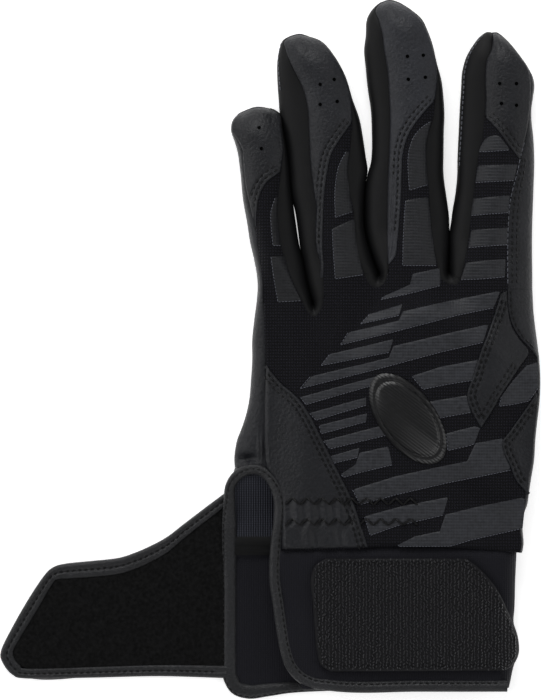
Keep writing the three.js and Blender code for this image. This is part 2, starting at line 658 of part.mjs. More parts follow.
// Cuff: a flat tube open along the slit. u runs from the left end of the palm layer round the right side
// to the edge of the slit on the back, v from the hem to the wrist seam.
const CUFF_ROUND = CUFF_HEIGHT / 2;
const EDGE_TO_PIPE = PIPING / 2 + SEAM; // from a bound edge to the middle of its tape
const backHemY = HEM_Y + PIPING + SEAM + HEM_STEP / 2;
const palmHemY = HEM_Y + PIPING + SEAM - HEM_STEP / 2;
const towardsHem = (y) => smoothstep(WRIST_SEAM_Y - y, 0, CUFF_LENGTH);
const cuffRight = (y) => CUFF_RIGHT_X - CUFF_TAPER * towardsHem(y);
const slitLine = (y) => SLIT_RIGHT_X + EDGE_TO_PIPE + SLIT_BEND * towardsHem(y);
// How far a corner rounded between an upright edge and a hem draws the edge in at the height y.
const cornerInset = (y, hem) => {
  const past = clamp((hem + SLIT_CORNER - y) / SLIT_CORNER, 0, 1);
  return SLIT_CORNER * (1 - Math.sqrt(1 - past * past));
};
const slitEdge = (y) => slitLine(y) + cornerInset(y, backHemY);
const palmEdge = (y) => CUFF_LEFT_X + EDGE_TO_PIPE + cornerInset(y, palmHemY);
const PALM_SHARE = 0.45; // u where the palm layer turns into the round side
const BACK_SHARE = 0.62; // and where that turns into the back layer
const HEM_CROWD = 1.4; // rows crowd towards the hem, where the corners are
const cuffAt = (depth) => (u, v) => {
  const round = clamp((u - PALM_SHARE) / (BACK_SHARE - PALM_SHARE), 0, 1);
  const y = lerp(lerp(palmHemY, backHemY, round), WRIST_SEAM_Y - SEAM, v ** HEM_CROWD);
  const centre = cuffRight(y) - CUFF_ROUND;
  if (u <= PALM_SHARE) {
    return [lerp(palmEdge(y), centre, u / PALM_SHARE), y, depth];
  }
  if (u >= BACK_SHARE) {
    const t = (u - BACK_SHARE) / (1 - BACK_SHARE);
    return [lerp(centre, slitEdge(y), t), y, CUFF_HEIGHT - depth];
  }
  const turn = Math.PI * (round - 0.5);
  const radius = CUFF_ROUND - depth;
  return [centre + radius * Math.cos(turn), y, CUFF_ROUND + radius * Math.sin(turn)];
};
add('cuff_band', sheet(cuffAt(0), cuffAt(NEOPRENE), 24, 8), 'neoprene');

// Hook half of the fastener, lying on the cuff and drooping a little over its right side
const hookLow = HEM_Y + 7.6;
const hookHigh = WRIST_SEAM_Y - 3.4;
const hookLeft = through([
  [-16.3, hookLow],
  [-18.7, lerp(hookLow, hookHigh, 0.38)],
  [-20, lerp(hookLow, hookHigh, 0.7)],
  [-19.2, lerp(hookLow, hookHigh, 0.9)],
  [-15.8, hookHigh],
]);
const hookRight = through([
  [45.6, hookLow - 0.4],
  [CUFF_RIGHT_X - 0.4, hookLow + 3],
  [CUFF_RIGHT_X + 0.6, hookLow + 8.5],
  [CUFF_RIGHT_X - 3, lerp(hookLow, hookHigh, 0.52)],
  [CUFF_RIGHT_X - 9, lerp(hookLow, hookHigh, 0.8)],
  [33, hookHigh],
]);
const hookPlan = between(
  straight(hookLeft(0), hookRight(0)),
  straight(hookLeft(1), hookRight(1)),
  hookLeft,
  hookRight,
);
const hookTop = (x, y) => {
  const over = Math.max(x - cuffRight(y) + CUFF_ROUND, 0);
  return CUFF_HEIGHT + SEAM + LOOSE + HOOK_THICKNESS - HOOK_DROOP * over * over;
};
// Its hooks stand in rows: along each row's share of the patch they climb, run level and fall again.
const RIDGE_STEPS = [0, 1, 1, 0];
const hookFace = (u, v) => {
  const [x, y] = hookPlan(u, v);
  const step = Math.round(v * HOOK_ROWS * RIDGE_STEPS.length) % RIDGE_STEPS.length;
  return [x, y, hookTop(x, y) + HOOK_ROW_HEIGHT * RIDGE_STEPS[step]];
};
const hookLining = (u, v) => {
  const [x, y] = hookPlan(u, v);
  return [x, y, hookTop(x, y) - HOOK_THICKNESS];
};
add('hook_patch', sheet(hookFace, hookLining, 8, HOOK_ROWS * RIDGE_STEPS.length), 'hook');

// Leather tape rolled round the edge of the cuff: along the back hem, round the corner, up the slit, round
// its arch, down the other side and back along the palm hem
const PIPE_LOW = PIPING / 2;
const PIPE_HIGH = CUFF_HEIGHT - NEOPRENE / 2;
const hemRight = cuffRight(HEM_Y) - CUFF_ROUND;
const cornerX = slitLine(backHemY + SLIT_CORNER) + SLIT_CORNER;
const CORNER_TURNS = [250, 228, 205];
const pipeCorner = (x, hem, turn, z) => [
  x + (SLIT_CORNER + EDGE_TO_PIPE) * Math.cos(degToRad(turn)),
  hem + SLIT_CORNER + (SLIT_CORNER + EDGE_TO_PIPE) * Math.sin(degToRad(turn)),
  z,
];
const pipePoints = [1, 0.5, 0].map(
  (share) => [lerp(cornerX, hemRight, share), backHemY - EDGE_TO_PIPE, PIPE_HIGH],
);
pipePoints.push(...CORNER_TURNS.map((turn) => pipeCorner(cornerX, backHemY, turn, PIPE_HIGH)));
for (const share of [0, 0.25, 0.5, 0.75, 1]) {
  const y = lerp(backHemY + SLIT_CORNER, WRIST_SEAM_Y, share);
  pipePoints.push([slitLine(y) - EDGE_TO_PIPE, y, PIPE_HIGH]);
}
// Over the arch the tape comes down from the back of the glove to the table.
const archLow = WRIST_SEAM_Y - 8;
const archHigh = WRIST_SEAM_Y + 26;
const ARCH_SAG = 1.2; // how far the top of the arch hangs below the back layer
const pipeHeight = (y) => lerp(PIPE_LOW, PIPE_HIGH - ARCH_SAG, smoothstep(y, archLow, archHigh));
pipePoints.push(
  [SLIT_RIGHT_X + 1, WRIST_SEAM_Y + 13, PIPE_HIGH],
  [SLIT_RIGHT_X - 1.6, WRIST_SEAM_Y + 21.5, PIPE_HIGH - ARCH_SAG / 4],
  [SLIT_RIGHT_X - 7.4, archHigh + 0.4, PIPE_HIGH - ARCH_SAG / 1.5],
  [CUFF_LEFT_X + 4.2, archHigh - 2, pipeHeight(archHigh - 2)],
);
for (const drop of [8, 14, 20, 27]) {
  pipePoints.push([CUFF_LEFT_X, archHigh - drop, pipeHeight(archHigh - drop)]);
}
for (const share of [0, 0.3, 0.66, 1]) {
  pipePoints.push([CUFF_LEFT_X, lerp(archLow, palmHemY + SLIT_CORNER, share), PIPE_LOW]);
}
const palmCornerX = CUFF_LEFT_X + EDGE_TO_PIPE + SLIT_CORNER;
for (const turn of CORNER_TURNS.toReversed()) {
  pipePoints.push(pipeCorner(palmCornerX, palmHemY, turn, PIPE_LOW));
}
for (const share of [0, 0.35, 0.7, 1]) {
  pipePoints.push([lerp(palmCornerX, hemRight, share), palmHemY - EDGE_TO_PIPE, PIPE_LOW]);
}
const pipePath = new THREE.CatmullRomCurve3(pipePoints.map((point) => new THREE.Vector3(...point)));
const pipe = new THREE.ExtrudeGeometry(new THREE.Shape().absarc(0, 0, PIPE_LOW, 0, 2 * Math.PI), {
  steps: 76,
  curveSegments: 4,
  extrudePath: pipePath,
  bevelEnabled: false,
});
add('cuff_binding', pipe, 'tape');

// Strap: a slanting tab with the loop pile up, bound round its three free edges
const strapX = (share) => STRAP_ROOT_X - share * STRAP_LENGTH;
const strapY = (share) => lerp(WRIST_SEAM_Y + STRAP_RISE, HEM_Y + STRAP_HEM, share);
const tapeOuter = through([
  [strapX(0), strapY(0)],
  [strapX(0.1), strapY(0.092)],
  [strapX(0.28), strapY(0.245)],
  [strapX(0.46), strapY(0.337)],
  [strapX(0.65), strapY(0.359)],
  [strapX(0.77), strapY(0.395)],
  [strapX(0.87), strapY(0.564)],
  [strapX(0.965), strapY(0.761)],
  [strapX(1), strapY(0.876)],
  [strapX(0.965), strapY(0.971)],
  [strapX(0.9), strapY(1)],
  [strapX(0.55), strapY(1)],
  [strapX(0.25), strapY(1)],
  [strapX(0), strapY(1)],
]);
// The inner edge of the tape, one tape width in from the outer edge.
function tapeInner(t) {
  const step = 0.004;
  const [x0, y0] = tapeOuter(Math.max(t - step, 0));
  const [x1, y1] = tapeOuter(Math.min(t + step, 1));
  const length = Math.hypot(x1 - x0, y1 - y0);
  const [x, y] = tapeOuter(t);
  const inset = [x - (STRAP_TAPE * (y1 - y0)) / length, y + (STRAP_TAPE * (x1 - x0)) / length];
  return [Math.min(inset[0], strapX(0)), inset[1]];
}
const tapeAt = (z) => (u, v) => [...straight(tapeInner(v), tapeOuter(v))(u), z];
add('strap_binding', sheet(tapeAt(STRAP_TAPE_HEIGHT), tapeAt(0), 1, 30), 'tape');

// The strap's layers fill the space inside the tape, between its upper and lower runs.
const STRAP_START = 0.05; // share of the tape's length where its inner edge leaves the root
const STRAP_HIGH_END = 0.54; // and where it comes to the strap's point, from above and from below
const STRAP_LOW_END = 0.7;
const layerPlan = (u, v) => {
  const high = tapeInner(lerp(STRAP_START, STRAP_HIGH_END, u));
  const low = tapeInner(lerp(1, STRAP_LOW_END, u));
  const inset = (SEAM + LOOSE) / Math.hypot(high[0] - low[0], high[1] - low[1]);
  return straight(low, high)(lerp(inset, 1 - inset, v));
};
add('strap_shell', draped(layerPlan, () => STRAP_SHELL, STRAP_SHELL, 10, 2), 'neoprene');
const pileTop = STRAP_SHELL + SEAM + PILE;
add('strap_pile', draped(layerPlan, () => pileTop, PILE, 10, 2), 'pile');

export default glove;
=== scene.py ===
"""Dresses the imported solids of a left-hand batting glove that lies palm down with its wrist strap open.

Every surface is worked out in millimetres in the frame of the solids and written to its mesh in metres.
"""

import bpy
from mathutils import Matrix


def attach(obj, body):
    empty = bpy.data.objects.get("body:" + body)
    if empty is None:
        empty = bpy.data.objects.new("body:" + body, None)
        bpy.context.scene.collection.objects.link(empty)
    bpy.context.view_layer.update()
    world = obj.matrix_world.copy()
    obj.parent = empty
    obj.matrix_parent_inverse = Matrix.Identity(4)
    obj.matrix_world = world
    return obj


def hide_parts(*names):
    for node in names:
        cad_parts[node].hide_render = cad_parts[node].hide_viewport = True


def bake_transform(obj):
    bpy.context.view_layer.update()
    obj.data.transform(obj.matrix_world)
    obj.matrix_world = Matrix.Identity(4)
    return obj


bl_info = {
    "name": "Batting Glove",
    "version": (1, 0, 0),
    "blender": (4, 5, 0),
    "location": "View3D > Sidebar > Glove",
    "description": "Sews a leather and knit batting glove over its packed solids",
    "category": "Object",
}

from math import pi, radians

import bmesh
import bpy
import numpy as np
from bpy.props import FloatProperty, FloatVectorProperty, PointerProperty

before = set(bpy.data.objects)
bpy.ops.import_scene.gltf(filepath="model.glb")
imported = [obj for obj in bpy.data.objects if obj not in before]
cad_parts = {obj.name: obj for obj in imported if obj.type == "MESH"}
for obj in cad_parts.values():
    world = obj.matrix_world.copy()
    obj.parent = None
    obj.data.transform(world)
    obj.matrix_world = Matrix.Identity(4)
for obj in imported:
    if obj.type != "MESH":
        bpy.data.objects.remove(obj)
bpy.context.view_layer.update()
MM = 0.001
UP = (0, 0, 1)
DOWN = (0, 0, -1)

# Form of the hand, the same as the solids have
WRIST_Y = 24.5
KNUCKLE_Y = 119.0
WRIST_TOP = 12.6
KNUCKLE_TOP = 15.0
ROLL_X = -36.4
INDEX_EDGE_X = 55.6
EDGE_FALL = 2.6
EDGE_FALL_WIDTH = 16.0
FINGER_TOP = 15.0
FINGERTIP_TOP = 11.5
TIP_LOW = 2.6
TIP_ROUND = 11.0
ROOT_BLEND = 15.0
FOOT = 1.0
THUMB_ROOT = np.array([54.2, 61.0])
THUMB_TURN = radians(145)
THUMB_LENGTH = 56.0
THUMB_WIDTH = 25.0
THUMB_MOUTH = 30.0
THUMB_HEIGHT = 6.5
THUMB_DRAPE = 11.0
THUMB_MARGIN = 2.0
THUMB_SWELL = 0.45
THUMB_SLACK = 0.75
CUFF_TOP = 11.0

# How one cloth lies on another
OVERLAY_LIFT = 0.75
GROOVE_WIDTH = 0.45
HEM_ROLL = 0.9


def measure(name, description, default, least=0.0):
    """A length property, in metres."""
    return FloatProperty(name=name, description=description, default=default, min=least, unit="LENGTH")


def wattage(name, description, default):
    """A property for the power of a light, in watts."""
    return FloatProperty(name=name, description=description, default=default, min=0, unit="POWER")


def colour(name, description, *rgb):
    """A colour property in linear light."""
    return FloatVectorProperty(
        name=name, description=description, default=rgb, size=3, min=0, max=1, subtype="COLOR"
    )


class GloveSizes(bpy.types.PropertyGroup):
    """Sizes of the cloth, leather and thread."""

    leather: measure("Leather", "Thickness of the leather", 0.001, 0.0004)
    knit: measure("Knit", "Thickness of the stretch knit", 0.0012, 0.0004)
    neoprene: measure("Neoprene", "Thickness of the cuff", 0.002, 0.0005)
    crown: measure("Finger crown", "Rise of a finger's back over its seams", 0.0022)
    stitch: measure("Stitch", "Length of one stitch", 0.0014, 0.0005)
    stitch_gap: measure("Stitch gap", "Space between two stitches", 0.0007, 0.0001)
    thread: measure("Thread", "Radius of the sewing thread", 0.00023, 0.0001)
    hook_pitch: measure("Hook pitch", "Spacing of the hooks on the cuff", 0.00115, 0.0005)
    rib_pitch: measure("Rib pitch", "Spacing of the ribs of the lining", 0.00082, 0.0005)


class GloveColours(bpy.types.PropertyGroup):
    """Colours of the materials."""

    leather: colour("Leather", "Charcoal leather", 0.0096, 0.0102, 0.0126)
    knit: colour("Knit", "Stretch knit of the back", 0.0032, 0.0032, 0.0050)
    printed: colour("Print", "Grey print on the knit", 0.0228, 0.0240, 0.0285)
    side_cloth: colour("Side cloth", "Smooth cloth between the fingers", 0.0033, 0.0034, 0.0039)
    ribbing: colour("Ribbing", "Ribbed lining of the slit", 0.0285, 0.0305, 0.0400)
    neoprene: colour("Neoprene", "Jersey face of the cuff", 0.0078, 0.0078, 0.0110)
    tape: colour("Tape", "Binding tape", 0.0138, 0.0142, 0.0158)
    hook: colour("Hooks", "Hook half of the fastener", 0.0250, 0.0250, 0.0285)
    pile: colour("Pile", "Loop half of the fastener", 0.0024, 0.0024, 0.0025)
    rubber: colour("Rubber", "Moulded pad", 0.0065, 0.0066, 0.0072)
    thread: colour("Thread", "Sewing thread", 0.0016, 0.0016, 0.0018)
    floor: colour("Floor", "Studio floor", 0.93, 0.93, 0.93)


class GloveStage(bpy.types.PropertyGroup):
    """Camera and light."""

    lens: FloatProperty(name="Lens", description="Focal length in millimetres", default=220, min=20)
    frame_height: measure("Frame height", "Height of the picture at the glove", 0.238)
    frame_level: measure("Frame level", "Height over the floor of that picture plane", 0.009)
    key: wattage("Key light", "Power of the light past the fingertips", 15.0)
    fill: wattage("Fill light", "Power of each other light", 7.5)
    sky: FloatProperty(name="Sky", description="Strength of the light from all round", default=0.125)


# Plan lines and grids


def mix(a, b, share):
    """a at share 0 and b at share 1."""
    return a + (b - a) * share


def ease(share):
    """A smooth step from 0 to 1, level at both ends."""
    share = np.clip(share, 0, 1)
    return share * share * (3 - 2 * share)


def bell(distance, width):
    """1 at distance 0, falling away as a bell of that width."""
    return np.exp(-((distance / width) ** 2))


def rolled(distance, radius):
    """How far an edge is rolled down round a radius, at a distance from it."""
    inside = np.clip(radius - distance, 0, radius)
    return radius - np.sqrt(radius**2 - inside**2)


def spread(count, crowd=0.8):
    """count + 1 shares from 0 to 1 that crowd towards both ends."""
    even = np.linspace(0, 1, count + 1)
    return mix(even, 0.5 - 0.5 * np.cos(pi * even), crowd)


def unit(vectors):
    """Vectors made one long."""
    return vectors / np.maximum(np.linalg.norm(vectors, axis=-1, keepdims=True), 1e-9)


def reaches(points):
    """Distances along a row of points from its first one."""
    return np.concatenate([[0], np.cumsum(np.linalg.norm(np.diff(points, axis=0), axis=1))])


def hermite(knots, values, at):
    """A cubic curve through the values at their knots, with each slope taken across its neighbours."""
    slopes = np.gradient(values, knots, axis=0)
    low = np.clip(np.searchsorted(knots, at) - 1, 0, len(knots) - 2)
    step = (knots[low + 1] - knots[low])[..., None]
    s = np.asarray(at - knots[low])[..., None] / step
    start = (1 + 2 * s) * (1 - s) ** 2 * values[low] + s * (1 - s) ** 2 * step * slopes[low]
    end = s**2 * (3 - 2 * s) * values[low + 1] + s**2 * (s - 1) * step * slopes[low + 1]
    return start + end


class Line:
    """A smooth plan line through points, read at shares of its length."""

    SAMPLES = 240

    def __init__(self, points, smooth=True):
        points = np.asarray(points, float)
        if smooth:
            knots = reaches(points)
            points = hermite(knots, points, np.linspace(0, knots[-1], self.SAMPLES))
        self.dense = points
        self.reach = reaches(points)
        self.length = self.reach[-1]

    def __call__(self, share):
        at = np.clip(share, 0, 1) * self.length
        return np.stack([np.interp(at, self.reach, axis) for axis in self.dense.T], axis=-1)

    def x_at(self, y):
        """x where a line that climbs passes the height y."""
        climbing = np.maximum.accumulate(self.dense[:, 1])
        return np.interp(y, climbing, self.dense[:, 0])

    def part(self, low, high):
        """The samples of a climbing line between two heights."""
        y = self.dense[:, 1]
        ends = np.array([[self.x_at(low), low], [self.x_at(high), high]])
        return np.vstack([ends[:1], self.dense[(y > low) & (y < high)], ends[1:]])

    def distance(self, plan):
        """Distances of plan points from the line."""
        return np.linalg.norm(plan[..., None, :] - self.dense[::2], axis=-1).min(axis=-1)

    def beside(self, distance):
        """The line moved sideways, to the left of its direction."""
        ahead = unit(np.gradient(self.dense, axis=0))
        return Line(self.dense + distance * np.stack([-ahead[:, 1], ahead[:, 0]], axis=1), smooth=False)


def cornered(points):
    """A line with sharp corners, read by the number of its points, so that two such lists stay in step."""
    points = np.array(points)
    at = np.arange(len(points)) / (len(points) - 1)
    return lambda share: np.stack([np.interp(share, at, axis) for axis in points.T], axis=-1)


def joined(*parts):
    """One line along several rows of points."""
    return Line(np.vstack(parts), smooth=False)


def grid(columns, rows, crowd=0.8):
    """Shares across and along as two arrays of rows by columns."""
    return np.meshgrid(spread(columns, crowd), spread(rows, crowd))


def ruled(left, right, u, v):
    """Plan points on straight rows from the left line to the right line."""
    return mix(left(v), right(v), u[..., None])


def coons(bottom, top, left, right, u, v):
    """Plan points between four lines that meet at their ends: across plus along, less the corners."""
    u1 = u[..., None]
    v1 = v[..., None]
    across = mix(bottom(u), top(u), v1)
    along = mix(left(v), right(v), u1)
    low = mix(bottom(0.0), bottom(1.0), u1)
    high = mix(top(0.0), top(1.0), u1)
    return across + along - mix(low, high, v1)


def level_shares(left, right, line):
    """Shares across from the left to the right side, and heights, of the points of a line, in order."""
    x, y = line.dense.T
    low = left.x_at(y)
    share = (x - low) / np.maximum(right.x_at(y) - low, 0.1)
    if share[0] > share[-1]:
        share, y = share[::-1], y[::-1]
    return np.maximum.accumulate(share), y


def spanned(left, right, low, high, u, v):
    """Plan points on level rows between two sides that climb, from a low line to a high line."""
    start = np.interp(u, *level_shares(left, right, low))
    end = np.interp(u, *level_shares(left, right, high))
    y = mix(start, end, v)
    return np.stack([mix(left.x_at(y), right.x_at(y), u), y], axis=-1)


def edge_distances(plan):
    """Distances of grid points from the left, right, first and last edge, along the grid."""
    across = np.linalg.norm(np.diff(plan, axis=1), axis=2)
    along = np.linalg.norm(np.diff(plan, axis=0), axis=2)
    left = np.pad(np.cumsum(across, axis=1), ((0, 0), (1, 0)))
    first = np.pad(np.cumsum(along, axis=0), ((1, 0), (0, 0)))
    return left, left[:, -1:] - left, first, first[-1:, :] - first


def raised(plan, z):
    """Points over a plan at heights z."""
    return np.concatenate([plan, z[..., None]], axis=-1)


def height_over(plan, height):
    """height(x, y) at plan points."""
    return height(plan[..., 0], plan[..., 1])


def laid(plan, height, lift=0.0, roll=(0, 0, 0, 0), grooves=()):
    """Points over a plan at height(x, y) plus a lift.

    roll gives the radius round which the left, right, first and last edge are rolled down.
    Each groove is (edge, distance from it, depth) and runs along that edge."""
    distances = edge_distances(plan)
    z = height_over(plan, height) + lift
    for distance, radius in zip(distances, roll):
        if radius > 0:
            z = z - rolled(distance, radius)
    for edge, distance, depth in grooves:
        z = z - depth * bell(distances[edge] - distance, GROOVE_WIDTH)
    return raised(plan, z)


def on(line, height, lift, samples=400, start=0.0, end=1.0):
    """Points of a plan line laid at height(x, y) plus a lift."""
    plan = line(np.linspace(start, end, samples))
    return raised(plan, height_over(plan, height) + lift)


# Meshes


MERGE_DISTANCE = 2e-6
SHARP_ANGLE = radians(50)
TUBE_SIDES = 32
STITCH_SIDES = 6
STITCH_ALONG = np.array([-1, -0.72, 0, 0.72, 1])
STITCH_SINK = np.array([-1.6, -0.2, 0.25, -0.2, -1.6])
STITCH_RADII = np.array([0.5, 1, 1, 1, 0.5])
HALF_STEP = 0.3


def grid_normals(points, facing):
    """Unit normals of a grid, on the side that faces the given way; that way itself at a pole."""
    normals = np.cross(np.gradient(points, axis=1), np.gradient(points, axis=0))
    lengths = np.linalg.norm(normals, axis=2, keepdims=True)
    facing = np.asarray(facing, float)
    turned = np.sum(normals @ facing) < 0
    normals = np.where(lengths > 1e-7, normals / np.maximum(lengths, 1e-7), -facing if turned else facing)
    return (-normals if turned else normals), turned


def to_object(name, points, faces, paint):
    """An object at the origin from points in millimetres, with doubled points merged and smooth shading."""
    mesh = bpy.data.meshes.new(name)
    mesh.from_pydata((np.asarray(points) * MM).tolist(), [], faces)
    work = bmesh.new()
    work.from_mesh(mesh)
    bmesh.ops.remove_doubles(work, verts=work.verts, dist=MERGE_DISTANCE)
    bmesh.ops.dissolve_degenerate(work, edges=work.edges, dist=1e-7)
    work.to_mesh(mesh)
    work.free()
    mesh.shade_smooth()
    mesh.set_sharp_from_angle(angle=SHARP_ANGLE)
    mesh.materials.append(paint)
    piece = bpy.data.objects.new(name, mesh)
    bpy.context.scene.collection.objects.link(piece)
    return piece


def quads(index):
    """Faces of a grid of vertex numbers."""
    corners = [index[:-1, :-1], index[:-1, 1:], index[1:, 1:], index[1:, :-1]]
    return np.stack(corners, axis=-1).reshape(-1, 4)


def tube_faces(rings, sides):
    """Faces of a tube of rings of points, with its two ends closed."""
    index = np.arange(rings * sides).reshape(rings, sides)
    faces = quads(np.hstack([index, index[:, :1]])).tolist()
    return faces + [index[0, ::-1].tolist(), index[-1].tolist()]


def sheets(name, grids, thickness, paint, facing=UP):
    """One mesh of closed sheets: each grid is an outer side, and its back lies one thickness behind that."""
    all_points, all_faces = [], []
    first = 0
    for points in grids:
        normals, turned = grid_normals(points, facing)
        rows, columns = points.shape[:2]
        count = rows * columns
        index = np.arange(count).reshape(rows, columns)
        rim = np.concatenate([index[0, :-1], index[:-1, -1], index[-1, :0:-1], index[:0:-1, 0]])
        ahead = np.roll(rim, -1)
        front = quads(index)
        edge = np.stack([ahead, rim, rim + count, ahead + count], axis=1)
        faces = np.vstack([front, front[:, ::-1] + count, edge])
        all_faces.append((faces[:, ::-1] if turned else faces) + first)
        all_points.append(np.concatenate([points, points - thickness * normals]).reshape(-1, 3))
        first += 2 * count
    return to_object(name, np.vstack(all_points), np.vstack(all_faces).tolist(), paint)


def flat_size(points):
    """Width and length, and area, of the flat cut that a grid is made of, in metres.

    They are its longest row and column, and the sum of its cells. The area is held between three tenths
    and all of width times length."""
    across = np.linalg.norm(np.diff(points, axis=1), axis=2).sum(axis=1).max()
    along = np.linalg.norm(np.diff(points, axis=0), axis=2).sum(axis=0).max()
    cells = np.cross(points[1:, 1:] - points[:-1, :-1], points[1:, :-1] - points[:-1, 1:])
    area = np.linalg.norm(cells, axis=2).sum() / 2
    area = np.clip(area, 0.3 * across * along, across * along)
    return (across * MM, along * MM), area * MM * MM


def sheet(name, points, thickness, paint, facing=UP):
    """A closed sheet of one grid. Its flat size is worked out, and not used."""
    piece = sheets(name, [points], thickness, paint, facing)
    flat, area = flat_size(points)
    return piece


def tube(name, path, section, paint):
    """A closed tube round a path: section(share along, angle) gives its reach sideways and upwards."""
    ahead = unit(np.gradient(path, axis=0))
    side = unit(np.cross(ahead, UP))
    up = np.cross(side, ahead)
    angles = np.arange(TUBE_SIDES) * 2 * pi / TUBE_SIDES
    share, angle = np.meshgrid(np.linspace(0, 1, len(path)), angles, indexing="ij")
    out, rise = section(share, angle)
    points = path[:, None] + out[..., None] * side[:, None] + rise[..., None] * up[:, None]
    return to_object(name, points.reshape(-1, 3), tube_faces(len(path), TUBE_SIDES), paint)


def repeated(name, template, faces, centres, ahead, up, paint):
    """One mesh with a small shape at every centre: its x runs ahead, its z up and its y sideways."""
    side = unit(np.cross(up, ahead))
    axes = np.stack([ahead, side, np.cross(ahead, side)], axis=1)
    points = centres[:, None] + np.einsum("pk,nkc->npc", template, axes)
    first = np.arange(len(centres)) * len(template)
    numbers = [(np.asarray(face)[None] + first[:, None]).tolist() for face in faces]
    return to_object(name, points.reshape(-1, 3), [face for kind in numbers for face in kind], paint)


def swept_template(middle, radii, sides):
    """A small closed tube with rings of the given radii round a bent middle line in the xz plane."""
    angle = np.arange(sides) * 2 * pi / sides
    ahead = unit(np.gradient(middle, axis=0))
    out = np.stack([-ahead[:, 1], ahead[:, 0]], axis=1)
    x = middle[:, :1] + radii[:, None] * out[:, :1] * np.sin(angle)
    z = middle[:, 1:] + radii[:, None] * out[:, 1:] * np.sin(angle)
    y = radii[:, None] * np.cos(angle) + 0 * x
    return np.stack([x, y, z], axis=2).reshape(-1, 3), tube_faces(len(middle), sides)


def stitches(name, paths, length=None, share=1.0, stuff="thread"):
    """Rows of stitches: short threads that dive into the cloth at both ends, spaced evenly along each path.

    share makes them smaller or larger than the sewing thread."""
    sizes = bpy.context.scene.glove_sizes
    length = length or share * sizes.stitch / MM
    pitch = length + share * sizes.stitch_gap / MM
    radius = share * sizes.thread / MM
    middle = np.column_stack([STITCH_ALONG * length / 2, STITCH_SINK * radius])
    template, faces = swept_template(middle, radius * STITCH_RADII, STITCH_SIDES)
    centres, directions = [], []
    for path in paths:
        path = np.asarray(path, float)
        reach = reaches(path)
        count = max(int(reach[-1] / pitch), 1)
        at = (np.arange(count) + 0.5) * reach[-1] / count
        before, after = (
            np.stack([np.interp(at + step, reach, axis) for axis in path.T], axis=1)
            for step in (-HALF_STEP, HALF_STEP)
        )
        centres.append((before + after) / 2)
        directions.append(after - before)
    ahead = unit(np.vstack(directions))
    ups = np.broadcast_to(np.array(UP, float), ahead.shape)
    return repeated(name, template, faces, np.vstack(centres), ahead, ups, cloth(stuff))


def stands_for(piece, node):
    """Hides the solid that a piece stands for, and gives the piece back."""
    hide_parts(node)
    return piece


def metres(x, y, z):
    """A point in metres."""
    return (x * MM, y * MM, z * MM)


# Materials


class Wire:
    """A value in a material. Arithmetic on wires adds the Math nodes that work it out."""

    def __init__(self, paint, socket):
        self.paint = paint
        self.socket = socket

    def math(self, operation, *terms):
        """A Math node over the terms."""
        return self.paint.node("ShaderNodeMath", {"operation": operation}, dict(enumerate(terms)))

    def __add__(self, other):
        return self.math("ADD", self, other)

    def __radd__(self, other):
        return self.math("ADD", other, self)

    def __mul__(self, other):
        return self.math("MULTIPLY", self, other)

    def __rmul__(self, other):
        return self.math("MULTIPLY", other, self)

    def wave(self, length):
        """0 to 1 and back over each length in millimetres."""
        return (self * (2 * pi / (length * MM))).sine() * 0.5 + 0.5

    def sine(self):
        """The sine of an angle in radians."""
        return self.math("SINE", self)

    def between(self, low, high):
        """0 at low and 1 at high, held beyond them."""
        limits = {"From Min": low, "From Max": high}
        return self.paint.node("ShaderNodeMapRange", {"clamp": True}, {"Value": self, **limits})


class Paint:
    """A material with one Principled shader."""

    def __init__(self, name, **constants):
        self.material = bpy.data.materials.new(name)
        self.material.use_nodes = True
        self.tree = self.material.node_tree
        self.shader = self.tree.nodes["Principled BSDF"]
        for socket, value in constants.items():
            self.shader.inputs[socket.replace("_", " ")].default_value = value

    def node(self, kind, settings=None, inputs=None, output=0):
        """Adds a node, sets it up, fills its sockets with values or wires and gives one of its outputs."""
        node = self.tree.nodes.new(kind)
        for setting, value in (settings or {}).items():
            setattr(node, setting, value)
        for socket, value in (inputs or {}).items():
            self.plug(node.inputs[socket], value)
        return Wire(self, node.outputs[output])

    def plug(self, socket, value):
        """Links a wire to a socket, or sets the socket to a number or colour."""
        if isinstance(value, Wire):
            self.tree.links.new(value.socket, socket)
        else:
            socket.default_value = value

    def feed(self, socket, value):
        """Gives the shader's own socket a wire or a value."""
        self.plug(self.shader.inputs[socket], value)

    def place(self):
        """Object coordinates."""
        return self.node("ShaderNodeTexCoord", output="Object")

    def axes(self):
        """x, y and z of the object coordinates."""
        place = self.place()
        return [self.node("ShaderNodeSeparateXYZ", None, {0: place}, axis) for axis in "XYZ"]

    def noise(self, size, detail=2.0):
        """Soft noise with lumps of a size in millimetres."""
        inputs = {"Vector": self.place(), "Scale": 1 / (size * MM), "Detail": detail}
        return self.node("ShaderNodeTexNoise", None, inputs)

    def cells(self, size, feature="F1"):
        """Distance inside cells of a size in millimetres."""
        inputs = {"Vector": self.place(), "Scale": 1 / (size * MM)}
        return self.node("ShaderNodeTexVoronoi", {"feature": feature}, inputs)

    def tinted(self, rgb, low, high, share):
        """The colour times low where share is 0 and times high where it is 1."""
        ends = {6: [*(c * low for c in rgb), 1], 7: [*(c * high for c in rgb), 1]}
        inputs = {0: share, **ends}
        return self.node("ShaderNodeMix", {"data_type": "RGBA"}, inputs, 2)

    def bump(self, height, depth):
        """Relief of a depth in millimetres for a height of 0 to 1."""
        self.feed("Normal", self.node("ShaderNodeBump", None, {"Distance": depth * MM, "Height": height}))


